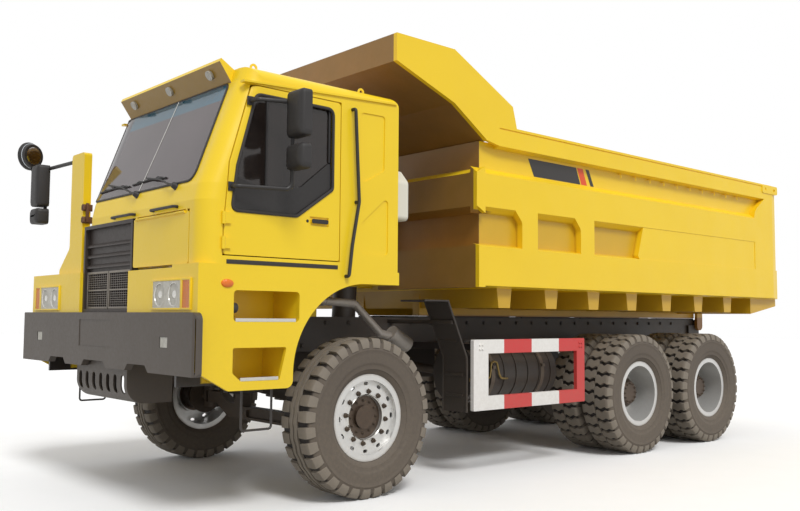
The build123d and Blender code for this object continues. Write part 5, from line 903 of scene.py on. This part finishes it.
def off_axle(tree, place, x):
    """Distance from one axle's line."""
    flat = add(tree, "ShaderNodeMapping", {"Vector": place, "Location": (-x, 0, -axle_z), "Scale": (1, 0, 1)})
    return add(tree, "ShaderNodeVectorMath", {0: flat}, operation="LENGTH")


def wheel_paint(name, x, hub_r, hub_colour):
    """Silver wheel paint with a dark hub round one axle."""
    material = sprayed(name, "#DCDCDA", "#CBCAC7", "#857868", 0.22, 0.3, metallic=0.55, wave=0.1)
    tree = material.node_tree
    dusty = tree.nodes["Principled BSDF"].inputs["Base Color"].links[0].from_node
    place = add(tree, "ShaderNodeTexCoord").outputs["Object"]
    away = off_axle(tree, place, x)
    ruffle = add(tree, "ShaderNodeTexNoise", {"Vector": place, "Scale": 22.0, "Detail": 4.0})
    edge = add(tree, "ShaderNodeMapRange", {"Value": away, "From Min": hub_r - 0.003, "From Max": hub_r + 0.003})
    hub = add(tree, "ShaderNodeMix", {"Factor": ruffle, "A": linear(hub_colour),
                                      "B": linear("#57473A")}, data_type="RGBA")
    both = add(tree, "ShaderNodeMix", {"Factor": edge, "A": hub,
                                       "B": dusty.inputs["A"].links[0].from_socket}, data_type="RGBA")
    caked = add(tree, "ShaderNodeMapRange", {"Value": away, "From Min": mud_r, "From Max": mud_r + 0.020})
    caked = add(tree, "ShaderNodeMath", {0: caked, 1: ruffle}, operation="MULTIPLY")
    whole = add(tree, "ShaderNodeMix", {"Factor": caked, "A": both, "B": linear("#857868")}, data_type="RGBA")
    fill(tree, dusty.inputs, {"A": whole})
    return material


nut_steel = sprayed("dark phosphated nut steel", "#3A322C", "#4C4239", "#7A6A58", 0.5, 0.45, metallic=0.6, wave=0.0)
nut_count = 12
wheels = []
for axle, x, y, front in (("front", 2.690, 1.358, True), ("middle", -1.210, 1.162, False),
                          ("rear", -2.710, 1.162, False)):
    ends = [axle + end for end in ("_left", "_right")]
    coat(wheel_paint(axle + " wheel paint", x, 0.1775 if front else 0.1655, "#2E241E" if front else "#3A2E26"),
         *[("rim_" if front else "rims_") + end for end in ends])
    wheels += [(end, ("wheel_" if front else "wheels_") + end, x, y, side, front) for end, side in zip(ends, (1, -1))]
for name, body, x, y, side, front in wheels:
    rings = bmesh.new()
    # Wheel nuts with their studs on the disc, then the smaller bolts of the hub's cover
    for r, across, out, start in ((0.2125 if front else 0.200, 0.0185, 0.104 if front else 0.0, 0.13),
                                  (0.135 if front else 0.104, 0.0105, 0.070 if front else 0.230, 0.0)):
        nut = bmesh.new()
        profile = ((0, across * 1.9), (across * 0.42, across * 1.8), (across * 0.5, across * 1.1),
                   (across * 0.85, across * 1.08), (across, across * 0.9), (across, 0.003), (across * 1.25, 0.002),
                   (across * 1.3, -0.002))
        turned(nut, profile, beside(r * cos(start), out, r * sin(start), side), 6, whole=False)
        rings.from_mesh(repeated(nut, nut_count, (x, side * y, axle_z), nut_steel, turn=(0, 2 * pi / nut_count, 0)))
    fit("wheel_nuts_" + name, rings, nut_steel, body)
    trim = bmesh.new()
    if front:
        turned(trim, ((0.178, 0.1035), (0.184, 0.110), (0.190, 0.1035)), beside(x, y, axle_z, side), 72)
    else:
        turned(trim, ((0.1655, 0.020), (0.172, 0.020), (0.176, 0.010), (0.176, 0.0005), (0.1655, 0.0005)),
               beside(x, y, axle_z, side), 64)
    # Valve stem, bent outwards
    tube(trim, [(x + along, side * (y + (out if front else twin)), axle_z) for along, out, twin in (
        (0.262, 0.100, 0.0), (0.270, 0.125, 0.030), (0.285, 0.138, 0.060))], 0.005)
    fit("wheel_rings_" + name, trim, bright, body)

# Tyres: bias-ply off-road tyres of black natural rubber, browned by dust, ribbed round their walls.
# Moulded in one piece; the front ones have square shoulder blocks beside zigzag ribs, the rear ones wavy lugs.
rubber = sprayed("dusty tyre rubber", "#443C37", "#564D45", "#8E8270", 0.5, 0.72, wave=0.0)
grained(rubber, 55.0, 6.0, 0.7, 0.35, 0.004)
# Painted shade: the grooves between the lugs are darkened
tree = rubber.node_tree
place = add(tree, "ShaderNodeTexCoord").outputs["Object"]
away, *others = [off_axle(tree, place, x) for x in (2.690, -1.210, -2.710)]
for other in others:
    away = add(tree, "ShaderNodeMath", {0: away, 1: other}, operation="MINIMUM")
deep = add(tree, "ShaderNodeMapRange", {"Value": away, "From Min": 0.616, "From Max": 0.630})
dusty = tree.nodes["Principled BSDF"].inputs["Base Color"].links[0].from_socket
grooves_shaded = add(tree, "ShaderNodeMix", {"Factor": deep, "A": dusty, "B": linear("#241F1C")}, data_type="RGBA")
feed(tree, {"Base Color": grooves_shaded})
tread_rubber = sprayed("worn tread rubber", "#6C645B", "#7E766B", "#A09482", 0.5, 0.68, wave=0.0)
grained(tread_rubber, 75.0, 6.0, 0.7, 0.4, 0.004)

# Half of the wall's outline, from the bead to the middle of the tread: way across, then radius
wall_line = [(0.1265, 0.3185), (0.1265, 0.358), (0.1420, 0.360), (0.1530, 0.372), (0.1620, 0.388), (0.1675, 0.396),
             (0.1725, 0.398), (0.1735, 0.406), (0.1740, 0.424), (0.1790, 0.440), (0.1825, 0.446), (0.1830, 0.456),
             (0.1840, 0.480), (0.1855, 0.520), (0.1850, 0.545), (0.1868, 0.549), (0.1868, 0.557), (0.1840, 0.561),
             (0.1790, 0.590), (0.1720, 0.612), (0.1620, 0.626), (0.1450, 0.6320), (0.1000, 0.6335), (0.0, 0.6340)]
wall_line = wall_line + [(-w, r) for w, r in wall_line[-2::-1]]
lug_count = 32
pitch = 2 * pi / lug_count


def lug(shape, stations, steps=3):
    """Lug across the tread: each station gives its way across, radius, root and start and end in turns of a pitch."""
    rings = []
    for w, r, root_w, root_r, start, end in stations:
        ring = []
        for n in range(steps + 1):
            t = pitch * (start + 0.035 + (end - start - 0.07) * n / steps)
            ring.append(shape.verts.new((r * cos(t), w, r * sin(t))))
        for n in range(steps, -1, -1):
            t = pitch * (start + (end - start) * n / steps)
            ring.append(shape.verts.new((root_r * cos(t), root_w, root_r * sin(t))))
        rings.append(ring)
    capped(shape, rings)


crown_r, groove_r = 0.6545, 0.625
twin_out = 0.215
for name, body, x, y, side, front in wheels:
    tyre = bmesh.new()
    for middle in ((side * y,) if front else (side * (y - twin_out), side * (y + twin_out))):
        turned(tyre, [(r, w) for w, r in wall_line], beside(x, middle, axle_z), 128)
        tread = bmesh.new()
        if front:
            for way, lead in ((1, 0.0), (-1, 0.5)):
                # Square shoulder block that turns down over the shoulder
                lug(tread, [(way * w, r, way * rw, rr, lead + s, lead + e) for w, r, rw, rr, s, e in (
                    (0.066, 0.6535, 0.068, groove_r, 0.02, 0.70), (0.110, crown_r, 0.110, groove_r, 0.0, 0.74),
                    (0.152, 0.6530, 0.146, 0.622, 0.0, 0.76), (0.168, 0.6460, 0.156, 0.615, 0.0, 0.76),
                    (0.180, 0.6240, 0.166, 0.600, 0.0, 0.76), (0.1865, 0.5930, 0.174, 0.588, 0.02, 0.74),
                    (0.1872, 0.5720, 0.178, 0.572, 0.04, 0.72))])
                # One period of the zigzag rib beside the tread's middle
                for begin, from_w, to_w in ((0.0, 0.022, 0.034), (0.5, 0.034, 0.022)):
                    ends = []
                    for t, w in ((begin, from_w), (begin + 0.5, to_w)):
                        a = pitch * (t + lead)
                        ends.append([tread.verts.new((r * cos(a), way * (w + off), r * sin(a))) for off, r in (
                            (-0.020, 0.630), (-0.017, crown_r), (0.017, crown_r), (0.020, 0.630))])
                    skin(tread, ends)
        else:
            for way, lead in ((1, 0.0), (-1, 0.42)):
                # Wavy lug from the middle of the tread down over the shoulder
                wave = []
                for n in range(11):
                    w = 0.004 + 0.0135 * n
                    sway = 0.09 * sin(2 * pi * w / 0.098)
                    wave.append((w, crown_r, w, groove_r, sway, sway + 0.74))
                lug(tread, [(way * w, r, way * rw, rr, lead + s, lead + e) for w, r, rw, rr, s, e in wave + [
                    (0.152, 0.6530, 0.146, 0.622, -0.02, 0.76), (0.167, 0.6465, 0.155, 0.615, 0.0, 0.78),
                    (0.178, 0.6280, 0.165, 0.602, 0.02, 0.78), (0.1855, 0.6000, 0.173, 0.590, 0.04, 0.76),
                    (0.1872, 0.5780, 0.178, 0.575, 0.06, 0.72)]])
        tread = repeated(tread, lug_count, (x, middle, axle_z), tread_rubber, turn=(0, -pitch, 0))
        for face in tread.polygons:
            face.material_index = 1
        tyre.from_mesh(tread)
    fit("tyre_" + name, tyre, (rubber, tread_rubber), body,
        stands_for=(("tyre_" if front else "tyres_") + name,), corner=32)

# Seats: moulded foam cushions in black woven cloth with sewn channels, on pressed steel bases.
# Each cushion, back and head rest is swelled by a cloth simulation, so it pulls in at its corners.
seat_cloth, tree, place = begun("black woven seat cloth")
fade = add(tree, "ShaderNodeTexNoise", {"Vector": place, "Scale": 9.0, "Detail": 5.0})
tint = add(tree, "ShaderNodeMix", {"Factor": fade, "A": linear("#2A2829"), "B": linear("#3C3936")}, data_type="RGBA")
nap = add(tree, "ShaderNodeMapRange", {"Value": fade, "To Min": 0.75, "To Max": 0.95})
# Threads are 0.6 mm apart on the real cloth, drawn at 4 mm to show; sewn channels run every 70 mm
thread_a = add(tree, "ShaderNodeTexWave", {"Vector": place, "Scale": 40.0}, bands_direction="Y")
thread_b = add(tree, "ShaderNodeTexWave", {"Vector": place, "Scale": 40.0}, bands_direction="DIAGONAL")
weave = add(tree, "ShaderNodeMath", {0: thread_a.outputs["Fac"], 1: thread_b.outputs["Fac"]}, operation="MULTIPLY")
sewn = add(tree, "ShaderNodeTexWave", {"Vector": place, "Scale": 2.25}, bands_direction="Y")
channel = add(tree, "ShaderNodeMapRange", {"Value": sewn.outputs["Fac"], "From Max": 0.25})
fine = add(tree, "ShaderNodeBump", {"Height": weave, "Strength": 0.3, "Distance": 0.001})
broad = add(tree, "ShaderNodeBump", {"Height": channel, "Strength": 0.6, "Distance": 0.008, "Normal": fine})
feed(tree, {"Base Color": tint, "Roughness": nap, "Sheen Weight": 0.4, "Normal": broad})


def swelled(shape, keep):
    """Swells a closed foam shape as cloth under pressure, capped at keep metres, and smooths it once."""
    foam = stood("foam", meshed("foam", shape))
    remesh = foam.modifiers.new("even mesh", "REMESH")
    remesh.mode = "VOXEL"
    remesh.voxel_size = 0.011
    even = frozen(foam)
    foam.modifiers.clear()
    foam.data = even
    start = [v.co.copy() for v in even.vertices]
    cloth = foam.modifiers.new("swell", "CLOTH")
    cloth.settings.use_pressure = True
    cloth.settings.uniform_pressure_force = 4
    cloth.settings.effector_weights.gravity = 0
    cloth.point_cache.frame_start = 1
    cloth.point_cache.frame_end = last_frame
    for number in range(1, last_frame + 1):
        bpy.context.scene.frame_set(number)
    blown = frozen(foam)
    foam.modifiers.clear()
    for v, was in zip(blown.vertices, start):
        way = v.co - was
        v.co = was + way * min(1, keep / max(way.length, 1e-6))
    foam.data = blown
    bpy.context.scene.frame_set(1)
    smooth = foam.modifiers.new("smooth", "SUBSURF")
    smooth.levels = smooth.render_levels = 1
    done = frozen(foam)
    bpy.data.objects.remove(foam)
    return done


last_frame = 20
seat_shapes = {}
# Outline and its corners' radius, where it stands, depth from and to, rounding, and how far it may swell
for part, outline, corner, place, low, high, edge, keep in (
    ("cushion", ((3.155, -0.225), (3.625, -0.225), (3.625, 0.225), (3.155, 0.225)), 0.05,
     lambda u, v, w: (u, v, w), 2.158, 2.268, 0.030, 0.012),
    ("back", ((-0.215, 0.010), (0.215, 0.010), (0.195, 0.560), (-0.195, 0.560)), 0.05,
     lambda u, v, w: (3.151 + w - 0.2 * v, u, 2.270 + v), 0.0, 0.085, 0.026, 0.012),
    ("head_rest", ((-0.115, 0.0), (0.115, 0.0), (0.115, 0.130), (-0.115, 0.130)), 0.035,
     lambda u, v, w: (3.030 + w, u, 2.848 + v), 0.0, 0.070, 0.022, 0.008),
):
    foam = bmesh.new()
    slab(foam, rounded(outline, corner), place, low, high, edge=edge)
    seat_shapes[part] = swelled(foam, keep)
for name, y in (("driver", 1.080), ("mate", 0.060)):
    for part, mesh in seat_shapes.items():
        foam = bmesh.new()
        foam.from_mesh(mesh)
        bmesh.ops.translate(foam, verts=foam.verts, vec=(0, y, 0))
        fit(part + "_" + name, foam, seat_cloth, "chassis", stands_for=("seats",), corner=180)
    base = bmesh.new()
    slab(base, ((3.215, -0.170), (3.565, -0.170), (3.565, 0.170), (3.215, 0.170)), lambda u, v, w: (u, y + v, w),
         1.9105, 2.060, edge=0.010)
    for side in (1, -1):
        # Two slide rails, and the head rest's rods
        rail_y, rod_y = y + side * 0.165, y + side * 0.06
        block(base, (3.210, rail_y - 0.018, 2.060), (3.570, rail_y + 0.018, 2.085), 0.003)
        block(base, (3.200, rail_y - 0.012, 2.085), (3.580, rail_y + 0.012, 2.150), 0.003)
        tube(base, [(3.075, rod_y, 2.820), (3.068, rod_y, 2.860)], 0.007)
    fit("seat_base_" + name, base, plastic, "chassis", stands_for=("seats",))
